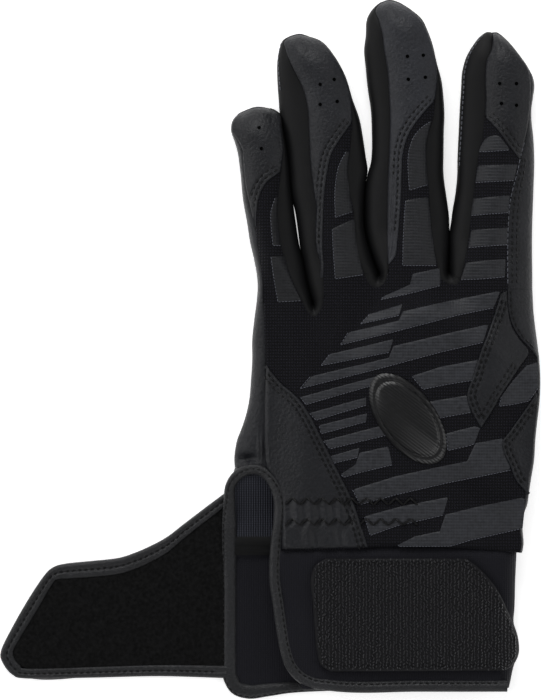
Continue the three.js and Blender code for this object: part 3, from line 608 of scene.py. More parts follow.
def leather_paint(name, rgb, pebble=0.95, specular=0.3):
    """Grained leather: pebbles with fine creases, rubbed paler in patches."""
    paint = Paint(name, Specular_IOR_Level=specular)
    grain = paint.cells(pebble, "SMOOTH_F1") * 0.75 + paint.noise(0.42, 3.0) * 0.5
    wear = paint.noise(14.0, 3.0).between(0.3, 0.7)
    fleck = paint.noise(0.7, 2.0).between(0.25, 0.75)
    paint.feed("Base Color", paint.tinted(rgb, 0.5, 1.5, wear * 0.4 + fleck * 0.6))
    paint.feed("Roughness", grain.between(0.2, 0.9) * 0.16 + 0.4)
    paint.bump(grain, 0.22)
    return paint.material


def knit_paint(name, rgb, across, along, depth=0.3, low=0.05, high=3.9):
    """Stretch knit: a square net of loops, with darker holes."""
    paint = Paint(name, Specular_IOR_Level=0.14, Roughness=0.7, Sheen_Weight=0.05, Sheen_Roughness=0.4)
    x, y, _ = paint.axes()
    loops = x.wave(across) * y.wave(along)
    fuzz = paint.noise(0.5, 2.0)
    paint.feed("Base Color", paint.tinted(rgb, low, high, loops * 0.8 + fuzz * 0.2))
    paint.bump(loops + fuzz * 0.3, depth)
    return paint.material


def print_paint(name, rgb):
    """Grey print on knit: the rows of loops show through it, and it is worn in places."""
    paint = Paint(name, Specular_IOR_Level=0.3)
    x, y, _ = paint.axes()
    loops = y.wave(1.05) * 0.65 + x.wave(0.92) * 0.35
    worn = paint.noise(1.3, 3.0).between(0.3, 0.66)
    tone = loops * 0.4 + worn * 0.35 + paint.noise(8.0, 2.0) * 0.3
    paint.feed("Base Color", paint.tinted(rgb, 0.3, 1.65, tone))
    paint.feed("Roughness", worn * 0.12 + 0.46)
    paint.bump(loops + worn * 0.3, 0.1)
    return paint.material


def cloth_paint(name, rgb, thread=0.4, specular=0.2, depth=0.02):
    """Smooth tight cloth: a fine crossed weave under faint streaks."""
    paint = Paint(name, Specular_IOR_Level=specular, Roughness=0.58)
    x, y, z = paint.axes()
    weave = (x + z).wave(thread) * 0.5 + (y + z * 0.5).wave(thread * 1.2) * 0.5
    streaks = paint.noise(3.5, 3.0)
    paint.feed("Base Color", paint.tinted(rgb, 0.7, 1.3, weave * 0.15 + streaks * 0.85))
    paint.bump(weave, depth)
    return paint.material


def jersey_paint(name, rgb):
    """Jersey face of neoprene: fine upright ribs, matt and a little fuzzy."""
    paint = Paint(name, Specular_IOR_Level=0.12, Roughness=0.75, Sheen_Weight=0.06, Sheen_Roughness=0.5)
    x, y, _ = paint.axes()
    ribs = x.wave(0.8) * 0.7 + y.wave(0.7) * 0.3
    fuzz = paint.noise(0.6, 3.0)
    paint.feed("Base Color", paint.tinted(rgb, 0.6, 1.4, ribs * 0.4 + fuzz * 0.6))
    paint.bump(ribs + fuzz * 0.5, 0.1)
    return paint.material


def pile_paint(name, rgb):
    """Brushed loops: tangled fuzz with small dark pits."""
    paint = Paint(name, Specular_IOR_Level=0.06, Roughness=0.9, Sheen_Weight=0.05, Sheen_Roughness=0.6)
    tangle = paint.noise(1.1, 4.0)
    pits = paint.cells(1.7)
    shade = tangle.between(0.35, 0.7) * 0.75 + pits * 0.35
    paint.feed("Base Color", paint.tinted(rgb, 0.05, 2.6, shade))
    paint.bump(tangle + pits * 0.5, 0.5)
    return paint.material


def hook_paint(name, rgb):
    """Moulded nylon hooks: smooth, with faint streaks."""
    paint = Paint(name, Specular_IOR_Level=0.8)
    streaks = paint.noise(0.9, 2.0)
    paint.feed("Base Color", paint.tinted(rgb, 0.5, 2.0, streaks))
    paint.feed("Roughness", streaks * 0.25 + 0.2)
    return paint.material


def rubber_paint(name, rgb):
    """Moulded pad: glossy, with fine ribs across it."""
    paint = Paint(name, Specular_IOR_Level=0.5)
    x, y, _ = paint.axes()
    ribs = (x * 0.6 + y * 0.8).wave(0.9)
    dust = paint.noise(0.8, 3.0)
    paint.feed("Base Color", paint.tinted(rgb, 0.8, 1.25, dust))
    paint.feed("Roughness", dust * 0.2 + 0.24)
    paint.bump(ribs, 0.05)
    return paint.material


def thread_paint(name, rgb):
    """Twisted sewing thread with a slight shine."""
    paint = Paint(name, Specular_IOR_Level=0.4, Roughness=0.45)
    x, y, _ = paint.axes()
    twist = (x + y * 0.7).wave(0.35)
    paint.feed("Base Color", paint.tinted(rgb, 0.6, 1.4, twist))
    return paint.material


def floor_paint(name, rgb):
    """Pale studio paper on a light table, with a barely seen tooth."""
    glow = {"Emission_Color": (1, 1, 1, 1), "Emission_Strength": 0.6}
    paint = Paint(name, Specular_IOR_Level=0.0, Roughness=0.9, **glow)
    paint.feed("Base Color", paint.tinted(rgb, 0.99, 1.01, paint.noise(1.2, 2.0)))
    return paint.material


PRINT_TONES = {"pinky": 0.4, "ring": 0.48, "middle": 0.54, "index": 0.7}
# Lightness of each finger's cap leather. The ring and most of all the middle cap are made lighter than the
# rest: a painted highlight, as if more light fell on them.
CAP_TONES_AND_HIGHLIGHTS = {"pinky": 1.0, "ring": 1.22, "middle": 1.95, "index": 0.96}


def make_paints():
    """Every material, by the name of the stuff it stands for."""
    rgb = bpy.context.scene.glove_colours
    ribs = bpy.context.scene.glove_sizes.rib_pitch / MM
    paints = {
        "leather": leather_paint("Charcoal leather", rgb.leather),
        "knit": knit_paint("Stretch knit", rgb.knit, 0.92, 1.05),
        "print": print_paint("Ribbed print", rgb.printed),
        # Pale dashes along some edges of the prints and finger strips: a painted highlight where light
        # catches those edges, made with the thread material.
        "edge_highlight": thread_paint("Painted edge highlight", [4.5 * c for c in rgb.printed]),
        "side_cloth": cloth_paint("Side cloth", rgb.side_cloth),
        "neoprene": jersey_paint("Cuff jersey", rgb.neoprene),
        "ribbing": knit_paint("Ribbed lining", rgb.ribbing, ribs, 0.6, 0.08, 0.25, 2.6),
        "band": cloth_paint("Slit band", [0.3 * c for c in rgb.side_cloth]),
        "vent": cloth_paint("Vent shade", [0.05 * c for c in rgb.side_cloth], specular=0.02),
        "tape": leather_paint("Strap tape", rgb.tape, 0.7),
        "binding": leather_paint("Binding tape", [1.2 * c for c in rgb.tape], 0.7),
        "hook": hook_paint("Hook nylon", rgb.hook),
        "hook_base": cloth_paint("Hook backing", [0.4 * c for c in rgb.hook], 0.6),
        "pile": pile_paint("Loop pile", rgb.pile),
        "rubber": rubber_paint("Moulded pad", rgb.rubber),
        "thread": thread_paint("Sewing thread", rgb.thread),
        "floor": floor_paint("Studio paper", rgb.floor),
    }
    for name, tone in PRINT_TONES.items():
        paints[name + "_print"] = print_paint(f"Print of the {name}", [tone * c for c in rgb.printed])
    # Cap leathers lightened by the factors above: the lighter ring and middle caps carry a painted highlight.
    for name, tone in CAP_TONES_AND_HIGHLIGHTS.items():
        paints[name + "_hide"] = leather_paint(f"Hide of the {name}", [tone * c for c in rgb.leather])
    return paints


PAINTS = {}


def cloth(kind):
    """The material of that name, made on first use."""
    if not PAINTS:
        PAINTS.update(make_paints())
    return PAINTS[kind]


# Heights over the table


def thumb_rise(x, y):
    """Lift of the palm over the thumb that is folded under it."""
    forward = np.cos(THUMB_TURN), np.sin(THUMB_TURN)
    along = (x - THUMB_ROOT[0]) * forward[0] + (y - THUMB_ROOT[1]) * forward[1]
    aside = (x - THUMB_ROOT[0]) * forward[1] - (y - THUMB_ROOT[1]) * forward[0]
    past = np.maximum(along - THUMB_LENGTH + THUMB_WIDTH / 2, 0)
    distance = np.hypot(past, aside) - THUMB_MOUTH / 2 - THUMB_MARGIN
    return (THUMB_HEIGHT + THUMB_SLACK) * ease((THUMB_DRAPE - distance) / THUMB_DRAPE)


# Where the back sinks between two knuckles: place and depth, then the width and reach of each hollow
HOLLOWS = (((-19, 104.7), 2.6), ((2, 113.6), 2.6), ((26.9, 114.9), 2.4))
HOLLOW_WIDTH = 5.5
HOLLOW_REACH = 17.0
HOLLOW_SLANT = 0.12
RIPPLE_HEIGHT = 0.22
RIPPLE_REACH = 15.0


def back_height(x, y):
    """Height of the knit back.

    It climbs from wrist to knuckles, swells over the thumb, drops at both sides and sinks between the
    knuckles. A faint ripple, the product of two slanting sines, runs over it."""
    climb = np.clip((y - WRIST_Y) / (KNUCKLE_Y - WRIST_Y), 0, 1)
    side = np.minimum(x - ROLL_X, INDEX_EDGE_X - x) / EDGE_FALL_WIDTH
    fall = EDGE_FALL * (1 - ease(side)) * ease((y - WRIST_Y) / 22)
    z = mix(WRIST_TOP, KNUCKLE_TOP, climb) + THUMB_SWELL * thumb_rise(x, y) - fall
    for (cx, cy), depth in HOLLOWS:
        aside = x - cx - HOLLOW_SLANT * (cy - y)
        z = z - depth * bell(aside, HOLLOW_WIDTH) * ease((y - cy + HOLLOW_REACH) / HOLLOW_REACH)
    ripple = np.sin(x / 6.1 + y / 9.7) * np.sin(y / 7.3 - x / 15.0)
    held = ease((y - WRIST_Y) / RIPPLE_REACH) * ease((KNUCKLE_Y - 12 - y) / RIPPLE_REACH)
    return z + RIPPLE_HEIGHT * ripple * held


# Plan lines of the hand, from the wrist up

LEFT_OUTLINE = Line([
    (-45.9, 51), (-46.2, 54.4), (-45.9, 57.8), (-45.2, 61.2), (-43.9, 64.6), (-42.2, 69.7), (-41.1, 74.8),
    (-40.5, 81.6), (-40.1, 88.4), (-40.1, 95.2), (-39.4, 102), (-38.6, 108.1),
])
FOLD = Line([
    (-35, 51), (-35.7, 56.1), (-35.9, 68), (-35.7, 78.2), (-35.7, 93.5), (-36, 100.3), (-36.4, 108.1),
])
HEEL_LEFT = [(-30.3, 24.1), (-30.3, 34), (-30.9, 41.8), (-33.3, 48.3)]
RIGHT_OUTLINE = Line([
    (51.9, 23), (52.3, 25.2), (52, 31.6), (52.3, 36), (53.4, 39.4), (53.9, 42.8),
    (54.6, 47.6), (55.7, 54.4), (56.1, 61.2), (56.8, 68), (57.4, 73.1), (57.8, 83.3), (57.6, 89.4),
])
INDEX_OUTLINE = Line([(57.6, 89.4), (57.1, 94.2), (56.4, 99.3), (55.8, 104.7), (55.4, 112.2)])
RIGHT_EDGE = Line([
    (50.7, 23), (51.2, 25.2), (50.8, 31.6), (51.2, 36), (52.2, 39.4), (52.7, 42.8),
    (53.4, 47.6), (54.6, 54.4), (55.1, 61.2), (55.8, 68), (56.4, 73.1), (56.8, 83.3), (56.6, 89.4),
])
INDEX_EDGE = Line([(56.6, 89.4), (54.4, 92.3), (51, 95.9), (48.3, 100.3), (46.9, 105.4), (46.6, 112.2)])
WRIST_LINE = Line([(-30.3, 24.1), (-10.2, 24.1), (10.2, 25.2), (23.8, 24.8), (37.4, 24.1), (50.7, 23)])

CROTCH_TOPS = {
    "pinky_ring_crotch": [(-23.1, 108.1), (-21.1, 104.7), (-19, 103), (-17, 105.1), (-15.6, 110.2)],
    "ring_middle_crotch": [(-2, 117.3), (-0.3, 114.2), (2, 112.9), (4.8, 114.6), (6.1, 119)],
    "middle_index_crotch": [(22.8, 119.7), (24.1, 115.9), (26.9, 114.2), (29.2, 113.9), (30.6, 115.6)],
}
CROTCH_FEET = {
    "pinky_ring_crotch": [(-19.4, 107.4), (-19.5, 107.2), (-19.6, 107.4)],
    "ring_middle_crotch": [(3.1, 117.6), (3.1, 117.4), (3.1, 117.6)],
    "middle_index_crotch": [(26.9, 118.3), (26.9, 118), (26.8, 118.3)],
}


TUCK_LEVELS = (46, 52, 84, 90)
TUCK_RADII = (2.6, 1.6, 1.6, 0.8)
BULGE = 1.25
FALL_POWER = 0.8


def left_tuck(plan):
    """How far the back and the heel are tucked down along their left edge, most of all beside the slit."""
    radius = np.interp(plan[..., 1], TUCK_LEVELS, TUCK_RADII)
    return rolled(edge_distances(plan)[0], radius)


def bulged(top, edge, high, low, t):
    """Points of a side that leaves a top line, bulges out to an edge in plan and tucks in at its foot.

    With t from 0 to 1 it goes out by sin(BULGE t pi/2), and from high to low by cos(t pi/2) ** FALL_POWER."""
    plan = mix(top, edge, np.sin(BULGE * t * pi / 2)[..., None])
    return raised(plan, low + (high - low) * np.maximum(np.cos(t * pi / 2), 0) ** FALL_POWER)


def wall_at(upper, lower, height, foot, t, v):
    """Points of such a side between two lines, at shares t down it and v along it."""
    top = upper(v)
    edge = lower(v)
    return bulged(top, edge, height_over(top, height), height_over(edge, foot), t)


def wall(upper, lower, height, foot, columns, rows):
    """The whole of such a side as a grid."""
    return wall_at(upper, lower, height, foot, *grid(columns, rows, 0.5))


def on_table(x, y):
    """The level of the palm's edge where it lies on the table."""
    return FOOT + 0 * x


def palm_edge(x, y):
    """The level of the palm's edge over the folded thumb."""
    return thumb_rise(x, y) + FOOT


def overlay_height(x, y):
    """The level of a panel sewn on the back."""
    return back_height(x, y) + OVERLAY_LIFT


# Fingers, each line from root to tip

FINGERS = {
    "pinky": {
        "left": [
            (-38.6, 108.1), (-38.2, 113.2), (-38.4, 116.6), (-39.4, 122.4), (-40.8, 128.5), (-41.8, 135),
            (-43.2, 142.8), (-44.2, 153), (-45.2, 159.8), (-46.2, 163.2), (-47.3, 166.6), (-46.8, 170),
            (-44.4, 172.9),
        ],
        "left_seam": [
            (-36.4, 108.1), (-36.6, 115.6), (-37.4, 121.7), (-38.4, 128.2), (-39.1, 133.6),
            (-40.5, 139.4), (-42.2, 147.2), (-43.2, 157.1), (-43.4, 159.8), (-45.2, 163.5),
            (-46.9, 166.3), (-46.4, 170), (-44, 172.6),
        ],
        "right_seam": [
            (-23.1, 108.1), (-26.5, 115.6), (-29.9, 125.8), (-31.5, 135.3), (-31.3, 143.8),
            (-29.9, 155.4), (-29.4, 159.8), (-29.8, 163.9), (-30.2, 167.3), (-30.9, 171.7),
            (-33.2, 173.7),
        ],
        "right": [
            (-19.4, 107.4), (-21.4, 115.6), (-22.6, 122.4), (-23.8, 126.8), (-25.2, 135.3),
            (-26.4, 144.5), (-27.5, 155.4), (-28.6, 162.2), (-29.6, 167.3), (-30.4, 172.4),
            (-32.6, 174.1),
        ],
        "tip": [(-44, 172.6), (-40.5, 174.1), (-36, 174.4), (-33.2, 173.7)],
        "cap": [(-38.7, 133.5), (-38.5, 138.7), (-37.7, 143.5), (-35.4, 148.2), (-30.4, 152.3)],
        "tail": 0.2,
        "vents": [(-37.7, 167.3), (-36.9, 160.1)],
        "prints": [
            ([(-33, 127.2), (-33.5, 132.6), (-33.7, 138.4), (-32.3, 143.5)],
             [(-30.3, 127.2), (-31.1, 132.6), (-31.5, 138.4), (-31.3, 143.8)]),
            ([(-31.3, 108.1), (-32.6, 115.6), (-33.7, 123.4)],
             [(-23.5, 108.5), (-26.9, 115.9), (-29.2, 123.8)]),
        ],
    },
    "ring": {
        "left": [
            (-19.6, 107.4), (-21.7, 115.6), (-22.8, 122.1), (-23.7, 126.4), (-24.6, 133.3),
            (-25.4, 138.7), (-26.6, 143.8), (-27.9, 155.4), (-28.9, 162.2), (-29.7, 166.6),
            (-30.7, 172.4), (-31.1, 177.5), (-31.5, 183.6), (-31.5, 190.4), (-30.8, 194.5),
            (-29.6, 197.5), (-27.2, 199.1),
        ],
        "left_seam": [
            (-15.6, 110.2), (-16, 115.6), (-17, 121.4), (-18.4, 126.8), (-18.7, 132.6), (-18.4, 140.4),
            (-19.4, 146.9), (-20.4, 156.4), (-20.7, 164.9), (-21.4, 175.1), (-22.4, 179.5),
            (-24.1, 183.6), (-26.2, 187.7), (-28.6, 193.8), (-29.1, 196.9), (-27, 198.7),
        ],
        "right_seam": [
            (-2, 117.3), (-4.1, 124.1), (-5.1, 132.6), (-6, 141.1), (-7.5, 146.9), (-7.8, 152),
            (-6.8, 160.8), (-6.1, 169.3), (-6.3, 175.4), (-7.3, 181.2), (-8.7, 185.1), (-10.5, 188.7),
            (-12.2, 191.6), (-17.2, 197.2), (-20.6, 198.7),
        ],
        "right": [
            (3.1, 117.6), (1.4, 121.7), (-0.3, 126.8), (-1.7, 132.6), (-1.9, 141.1), (-1.2, 149.6),
            (-0.7, 152.3), (-1.4, 158.1), (-2.4, 164.9), (-3.4, 170.3), (-5.8, 177.1), (-8.5, 185.6),
            (-10.2, 189), (-11.9, 191.8), (-17, 197.5), (-20.4, 198.9),
        ],
        "tip": [(-27, 198.7), (-24.5, 199.4), (-20.6, 198.7)],
        "cap": [
            (-16, 116.3), (-15.8, 119.7), (-16.2, 127.5), (-16, 135.3), (-15.6, 143.8), (-14.6, 152),
            (-12.9, 158.8), (-10.2, 163.2), (-6.1, 169),
        ],
        "tail": 0.5,
        "vents": [(-17, 181.9), (-12.2, 183.6), (-17, 175.1), (-11.2, 176.1)],
        "prints": [
            ([(-11.9, 136.7), (-11.9, 147.2), (-10.2, 155.4), (-8.2, 159.1)],
             [(-6, 138.7), (-7.1, 146.2), (-7.7, 152.3), (-7.1, 159.1)]),
            ([(-11.9, 115.9), (-12.6, 125.8), (-12.9, 132.9)],
             [(-2.4, 117.3), (-4.2, 125.1), (-5.4, 136.3)]),
        ],
    },
    "middle": {
        "left": [
            (3.1, 117.6), (1.4, 121.7), (-0.3, 126.8), (-1.7, 132.6), (-1.9, 141.1), (-1.2, 149.6),
            (-0.6, 152.3), (0.3, 155.4), (0.7, 159.8), (0.7, 165.6), (0.3, 174.1), (-0.7, 180.9),
            (-1.4, 188), (-1.9, 194.8), (-1.4, 198.4), (-0.7, 205.4), (1.7, 208.9), (3.7, 210.6),
        ],
        "left_seam": [
            (6.1, 119), (5.8, 129.2), (5.8, 137), (6, 148.6), (6.5, 159.8), (6.8, 171), (6.5, 177.5),
            (6, 186.3), (4.8, 193.8), (4.1, 199.6), (3.1, 203.5), (2, 207.8), (3.9, 210.2),
        ],
        "right_seam": [
            (22.8, 119.7), (21.8, 125.8), (20.7, 134.3), (20.1, 142.8), (19.4, 151.3), (19, 159.8),
            (19.7, 165.6), (21.2, 170), (22, 176.8), (22.8, 183.3), (22.4, 189.7), (20.7, 196.5),
            (19.2, 200.6), (17.5, 203.8), (14.3, 207.2), (10, 210.2),
        ],
        "right": [
            (26.9, 118.3), (27.2, 132.6), (27, 137.7), (26.2, 143.8), (25.2, 151.3), (25.2, 159.8),
            (25.3, 166.6), (25.5, 171.7), (25.2, 177.5), (24.5, 183.6), (22.8, 189.7), (21.1, 196.9),
            (19.7, 200.6), (18, 204.3), (14.5, 207.6), (10.2, 210.6),
        ],
        "tip": [(3.9, 210.2), (6.7, 211), (10, 210.2)],
        "cap": [
            (6.5, 121), (8.2, 123.1), (9.2, 129.2), (10, 137.7), (10.5, 146.2), (10.7, 153), (11.2, 159.1),
            (12.6, 163.9), (14.6, 167.6), (17.7, 171.7), (22, 176.5),
        ],
        "tail": 0.45,
        "vents": [(12.6, 191.4), (18, 191.8), (12.9, 183.6), (18.7, 184.3)],
        "prints": [
            ([(13.3, 145.9), (12.8, 152.3), (12.9, 158.1), (14.3, 163.2), (17, 166.9), (20.4, 169.3)],
             [(19.6, 147.9), (19.2, 153), (19, 159.8), (19.6, 164.9), (20.2, 167.3), (20.9, 169.7)]),
            ([(10.9, 120.4), (11.2, 130.9), (11.9, 142.5)],
             [(22.4, 120.4), (20.7, 133.3), (19.7, 143.8)]),
        ],
    },
    "index": {
        "left": [
            (26.8, 118.3), (26.9, 125), (27, 131), (27.7, 135.3), (28.2, 139.4), (29.1, 144.5),
            (29.8, 151.3), (29.9, 157.1), (30.3, 165.6), (30.7, 174.1), (31.1, 180.2), (31.6, 187.1),
            (33, 191.9), (35.2, 195.7), (37.8, 198.9), (40.2, 200.4), (41.8, 200.3),
        ],
        "left_seam": [
            (30.6, 115.6), (32, 121.7), (33.3, 129.2), (34.3, 137), (34.9, 142.8), (35.7, 150.3),
            (36.6, 156.4), (37.7, 161.5), (38.8, 169), (39.2, 175.8), (39.1, 185.1), (39.7, 190.4),
            (41.3, 194), (42, 199.8),
        ],
        "right_seam": [
            (46.6, 112.2), (46.6, 122.4), (46.9, 135.3), (47.6, 142.8), (49, 148.6), (50, 152.3),
            (51, 157.1), (52.4, 162.5), (53.4, 167.3), (54.4, 175.8), (54.6, 182.9), (53.6, 187.7),
            (51.4, 191.1), (47.2, 196.6), (44.6, 199.2),
        ],
        "right": [
            (55.4, 112.2), (55.4, 134.3), (55.8, 145.5), (56.1, 157.1), (55.8, 163.9), (55.1, 171),
            (55.1, 174.1), (55.6, 177.5), (56.1, 182.6), (55.7, 184.6), (53.9, 188), (51.6, 191.4),
            (49.6, 194.1), (47.3, 197), (44.8, 199.6),
        ],
        "tip": [(42, 199.8), (43.3, 199.9), (44.6, 199.2)],
        "cap": [(50.8, 156.4), (46.9, 161.2), (43.2, 166.3), (38.9, 171)],
        "tail": 0.0,
        "vents": [(43.9, 182.2), (49.6, 182.2), (44.5, 175.4), (49.6, 174.8)],
        "prints": [
            ([(37.4, 160.8), (39.4, 163.7), (42.8, 164.6), (46.9, 160.5)],
             [(36.9, 159.1), (40.1, 159.1), (43.2, 159.3), (47.1, 159.6)]),
            ([(36.6, 154.4), (43.2, 154.5), (50, 154.7)], [(35.6, 148.6), (42.2, 148.9), (48.8, 149.3)]),
            ([(34.9, 143.1), (40.8, 143.7), (47.3, 144.2)], [(34.2, 137.4), (40.5, 137.9), (46.9, 138.4)]),
            ([(34.2, 132.4), (40.5, 132.9), (46.6, 133.3)], [(33.2, 126.5), (39.8, 127), (46.6, 127.5)]),
            ([(32.5, 121.4), (39.1, 122.1), (45.9, 122.6)], [(30.6, 115.6), (38.1, 115.9), (45.6, 116.6)]),
        ],
    },
}


class Finger:
    """The lines of one finger and the height of its back."""

    def __init__(self, name, lines):
        self.name = name
        self.left = Line(lines["left"])
        self.left_seam = Line(lines["left_seam"])
        self.right_seam = Line(lines["right_seam"])
        self.right = Line(lines["right"])
        self.tip = Line(lines["tip"])
        self.cap = Line(lines["cap"])
        self.tail = lines["tail"]
        self.vents = lines["vents"]
        self.prints = lines["prints"]
        self.cap_low_left = self.cap(0.0)[0] < self.cap(1.0)[0]
        self.root = (self.left_seam(0.0) + self.right_seam(0.0)) / 2
        self.end = self.tip(0.5)
        self.length = np.linalg.norm(self.end - self.root)
        self.forward = (self.end - self.root) / self.length

    def past_root(self, x, y):
        """Distance beyond the row where the seams start, upwards."""
        a, b = self.left_seam(0.0), self.right_seam(0.0)
        share = np.clip((x - a[0]) / (b[0] - a[0]), 0, 1)
        return y - mix(a[1], b[1], share)

    def height(self, x, y):
        """A crowned back that sinks towards the tip and rounds down at its end.

        At the root it runs into the back of the hand."""
        to_tip = self.length - (x - self.root[0]) * self.forward[0] - (y - self.root[1]) * self.forward[1]
        top = mix(FINGERTIP_TOP, FINGER_TOP, np.clip(to_tip / self.length, 0, 1))
        left = self.left_seam.x_at(y)
        right = self.right_seam.x_at(y)
        across = np.clip((x - left) / np.maximum(right - left, 0.5), 0, 1) * 2 - 1
        crown = bpy.context.scene.glove_sizes.crown / MM
        own = top - crown * np.abs(across) ** 2.2
        short = np.interp(x, *self.tip.dense.T) - y
        end = np.clip(1 - short / TIP_ROUND, 0, 1)
        own = TIP_LOW + (own - TIP_LOW) * np.sqrt(1 - end**2)
        return mix(back_height(x, y), own, ease(self.past_root(x, y) / ROOT_BLEND))

    def back_plan(self):
        """Plan of the knit back, which ends at the slanting edge of the cap."""
        low_seam, high_seam = self.left_seam, self.right_seam
        if not self.cap_low_left:
            low_seam, high_seam = high_seam, low_seam
        low_line = joined(low_seam.part(low_seam.dense[0, 1], self.cap(0.0)[1]), self.cap.dense[1:])
        high_line = joined(high_seam.part(high_seam.dense[0, 1], self.cap(1.0)[1]))
        u, v = grid(20, 90, 0.3)
        lines = (low_line, high_line) if self.cap_low_left else (high_line, low_line)
        return ruled(*lines, u, v)

    def cap_plan(self):
        """Plan of the fingertip cap, on level rows from the low end of its slanting edge to the tip."""
        low, high = self.cap(0.0)[1], self.cap(1.0)[1]
        seam = self.right_seam if self.cap_low_left else self.left_seam
        edge = joined(self.cap.dense, seam.part(high, seam.dense[-1, 1])[1:])
        sides = (self.left_seam, edge) if self.cap_low_left else (edge, self.right_seam)
        start = joined([(side.x_at(low), low) for side in sides])
        u, v = grid(50, 90, 0.3)
        return spanned(*sides, start, self.tip, u, v)


# Shared steps of the operators


BEND_START = -1.0
BEND_END = 15.0
BEND_LEVEL = 12.0


def sew(piece, body):
    """Lets a piece follow one body."""
    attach(piece, body)
    return piece


def bend(piece, finger):
    """Bakes the transform of a piece of a finger into its mesh; the ends of a hinge over its root are worked
    out but not used.
    """
    start = finger.root + BEND_START * finger.forward
    end = finger.root + BEND_END * finger.forward
    metres(*start, BEND_LEVEL)
    metres(*end, BEND_LEVEL)
    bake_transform(piece)
    return piece


def panel(name, points, thickness, stuff, node, facing=UP, body="hand"):
    """A sheet of the given stuff that follows one body and stands for a solid, which it hides."""
    piece = sew(sheet(name, points, thickness, cloth(stuff), facing), body)
    return stands_for(piece, node)


class GloveStep:
    """What the operators share: they run in object mode, and an error in one of them stops the script."""

    bl_options = {"REGISTER", "UNDO"}

    @classmethod
    def poll(cls, context):
        return context.mode == "OBJECT"


class GLOVE_OT_palm(GloveStep, bpy.types.Operator):
    """Sew the palm, the leather rolled up beside it and the sides of the hand"""

    bl_idname = "glove.palm"
    bl_label = "Palm and sides"

    HEM = ((-46.4, 24.4), (-27.2, 24.1), (10.2, 24.5), (51, 23.1))
    SLIT_CORNER = (-47.3, 40.8)
    LEFT_INSET = 0.5
    RIGHT_INSET = 0.6
    DENT = (-41.6, 54.8)
    DENT_WIDTH = (2.9, 1.6)
    DENT_DEPTH = 2.3
    RIDGES_X = (-37.9, -36.8)
    RIDGE_Y = 57.5
    RIDGE_WIDTH = (0.42, 4.2)
    RIDGE_HEIGHT = 0.6
    WRINKLES = (-37.8, 101.0)
    WRINKLE_WIDTH = (1.6, 5.0)
    WRINKLE_PITCH = 1.5
    WRINKLE_HEIGHT = 0.12
    ROLL_BELOW = 0.9
    INDEX_LIFT = 0.25
    SEAM_INSET = 1.0
    SEAM_LIFT = 0.35
    SLIT_SIDE = ((-47.8, 33), (-47.7, 41), (-47.2, 46.4), (-45.6, 49.6), (-43.5, 51.5))
    SLIT_FOOT = ((-48, 33), (-47.9, 41), (-47.4, 46.4), (-46.6, 49.6), (-45.9, 52))
    SLIT_TOP = (3.5, 5.3, 6.7, 7.7, 8.4)

    def execute(self, context):
        leather = context.scene.glove_sizes.leather / MM
        panel("palm_leather", laid(self.palm_plan(), thumb_rise), leather, "leather", "palm_panel", DOWN)
        panel("rolled_side", self.roll(), leather, "leather", "ulnar_roll", (-1, 0, 1))
        side = wall(Line(self.SLIT_SIDE), Line(self.SLIT_FOOT), self.slit_top, on_table, 12, 40)
        piece = sheet("slit_side", side, leather, cloth("leather"), (-1, 0, 0.3))
        sew(piece, "hand")
        side = wall(RIGHT_EDGE, RIGHT_OUTLINE, back_height, palm_edge, 16, 70)
        panel("wrist_side", side, leather, "leather", "wrist_side_panel", (1, 0, 1))
        side = wall(INDEX_EDGE, INDEX_OUTLINE, self.index_top, palm_edge, 20, 40)
        panel("index_root_side", side, leather, "leather", "index_root_panel", (1, 0, 1))
        seam = on(INDEX_EDGE.beside(-self.SEAM_INSET), self.index_top, self.SEAM_LIFT, start=0.12)
        sew(stitches("index_root_stitches", [seam]), "hand")
        return {"FINISHED"}

    def palm_plan(self):
        """Plan of the palm, between its hem, the two outlines and the roots of the fingers."""
        roots = [FINGERS[name][side][0] for name in FINGERS for side in ("left", "right")]
        left = joined(self.HEM[:1], [self.SLIT_CORNER], LEFT_OUTLINE.beside(-self.LEFT_INSET).dense)
        outlines = [line.beside(self.RIGHT_INSET).dense for line in (RIGHT_OUTLINE, INDEX_OUTLINE)]
        right = joined(outlines[0], outlines[1][1:])
        top = joined(left(1.0)[None], np.array(roots[1:-1]), right(1.0)[None])
        bottom = Line(self.HEM, smooth=False)
        return coons(bottom, top, left, joined(self.HEM[-1:], right.dense), *grid(90, 90, 0.4))

    def roll(self):
        """The rolled side, with a dent above the slit, ridges beside that and wrinkles near the finger."""
        points = wall(FOLD, LEFT_OUTLINE, self.roll_top, on_table, 60, 130)
        x, y = points[..., 0], points[..., 1]

        def near(place, width):
            return bell(x - place[0], width[0]) * bell(y - place[1], width[1])

        ridge = sum(bell(x - ridge_x, self.RIDGE_WIDTH[0]) for ridge_x in self.RIDGES_X)
        ridge = ridge * bell(y - self.RIDGE_Y, self.RIDGE_WIDTH[1])
        dent = near(self.DENT, self.DENT_WIDTH)
        wrinkles = near(self.WRINKLES, self.WRINKLE_WIDTH) * np.sin(2 * pi * y / self.WRINKLE_PITCH)
        points[..., 2] += self.RIDGE_HEIGHT * ridge - self.DENT_DEPTH * dent + self.WRINKLE_HEIGHT * wrinkles
        return points

    def roll_top(self, x, y):
        """The fold where the roll meets the back lies a little below it."""
        return back_height(np.maximum(x, ROLL_X), y) - self.ROLL_BELOW

    def slit_top(self, x, y):
        """Under the tape that binds the slit, as it climbs from the cuff to the arch."""
        return np.interp(y, np.array(self.SLIT_SIDE)[:, 1], self.SLIT_TOP)

    def index_top(self, x, y):
        """The leather at the root of the index finger, sewn on the back."""
        return back_height(x, y) + self.INDEX_LIFT


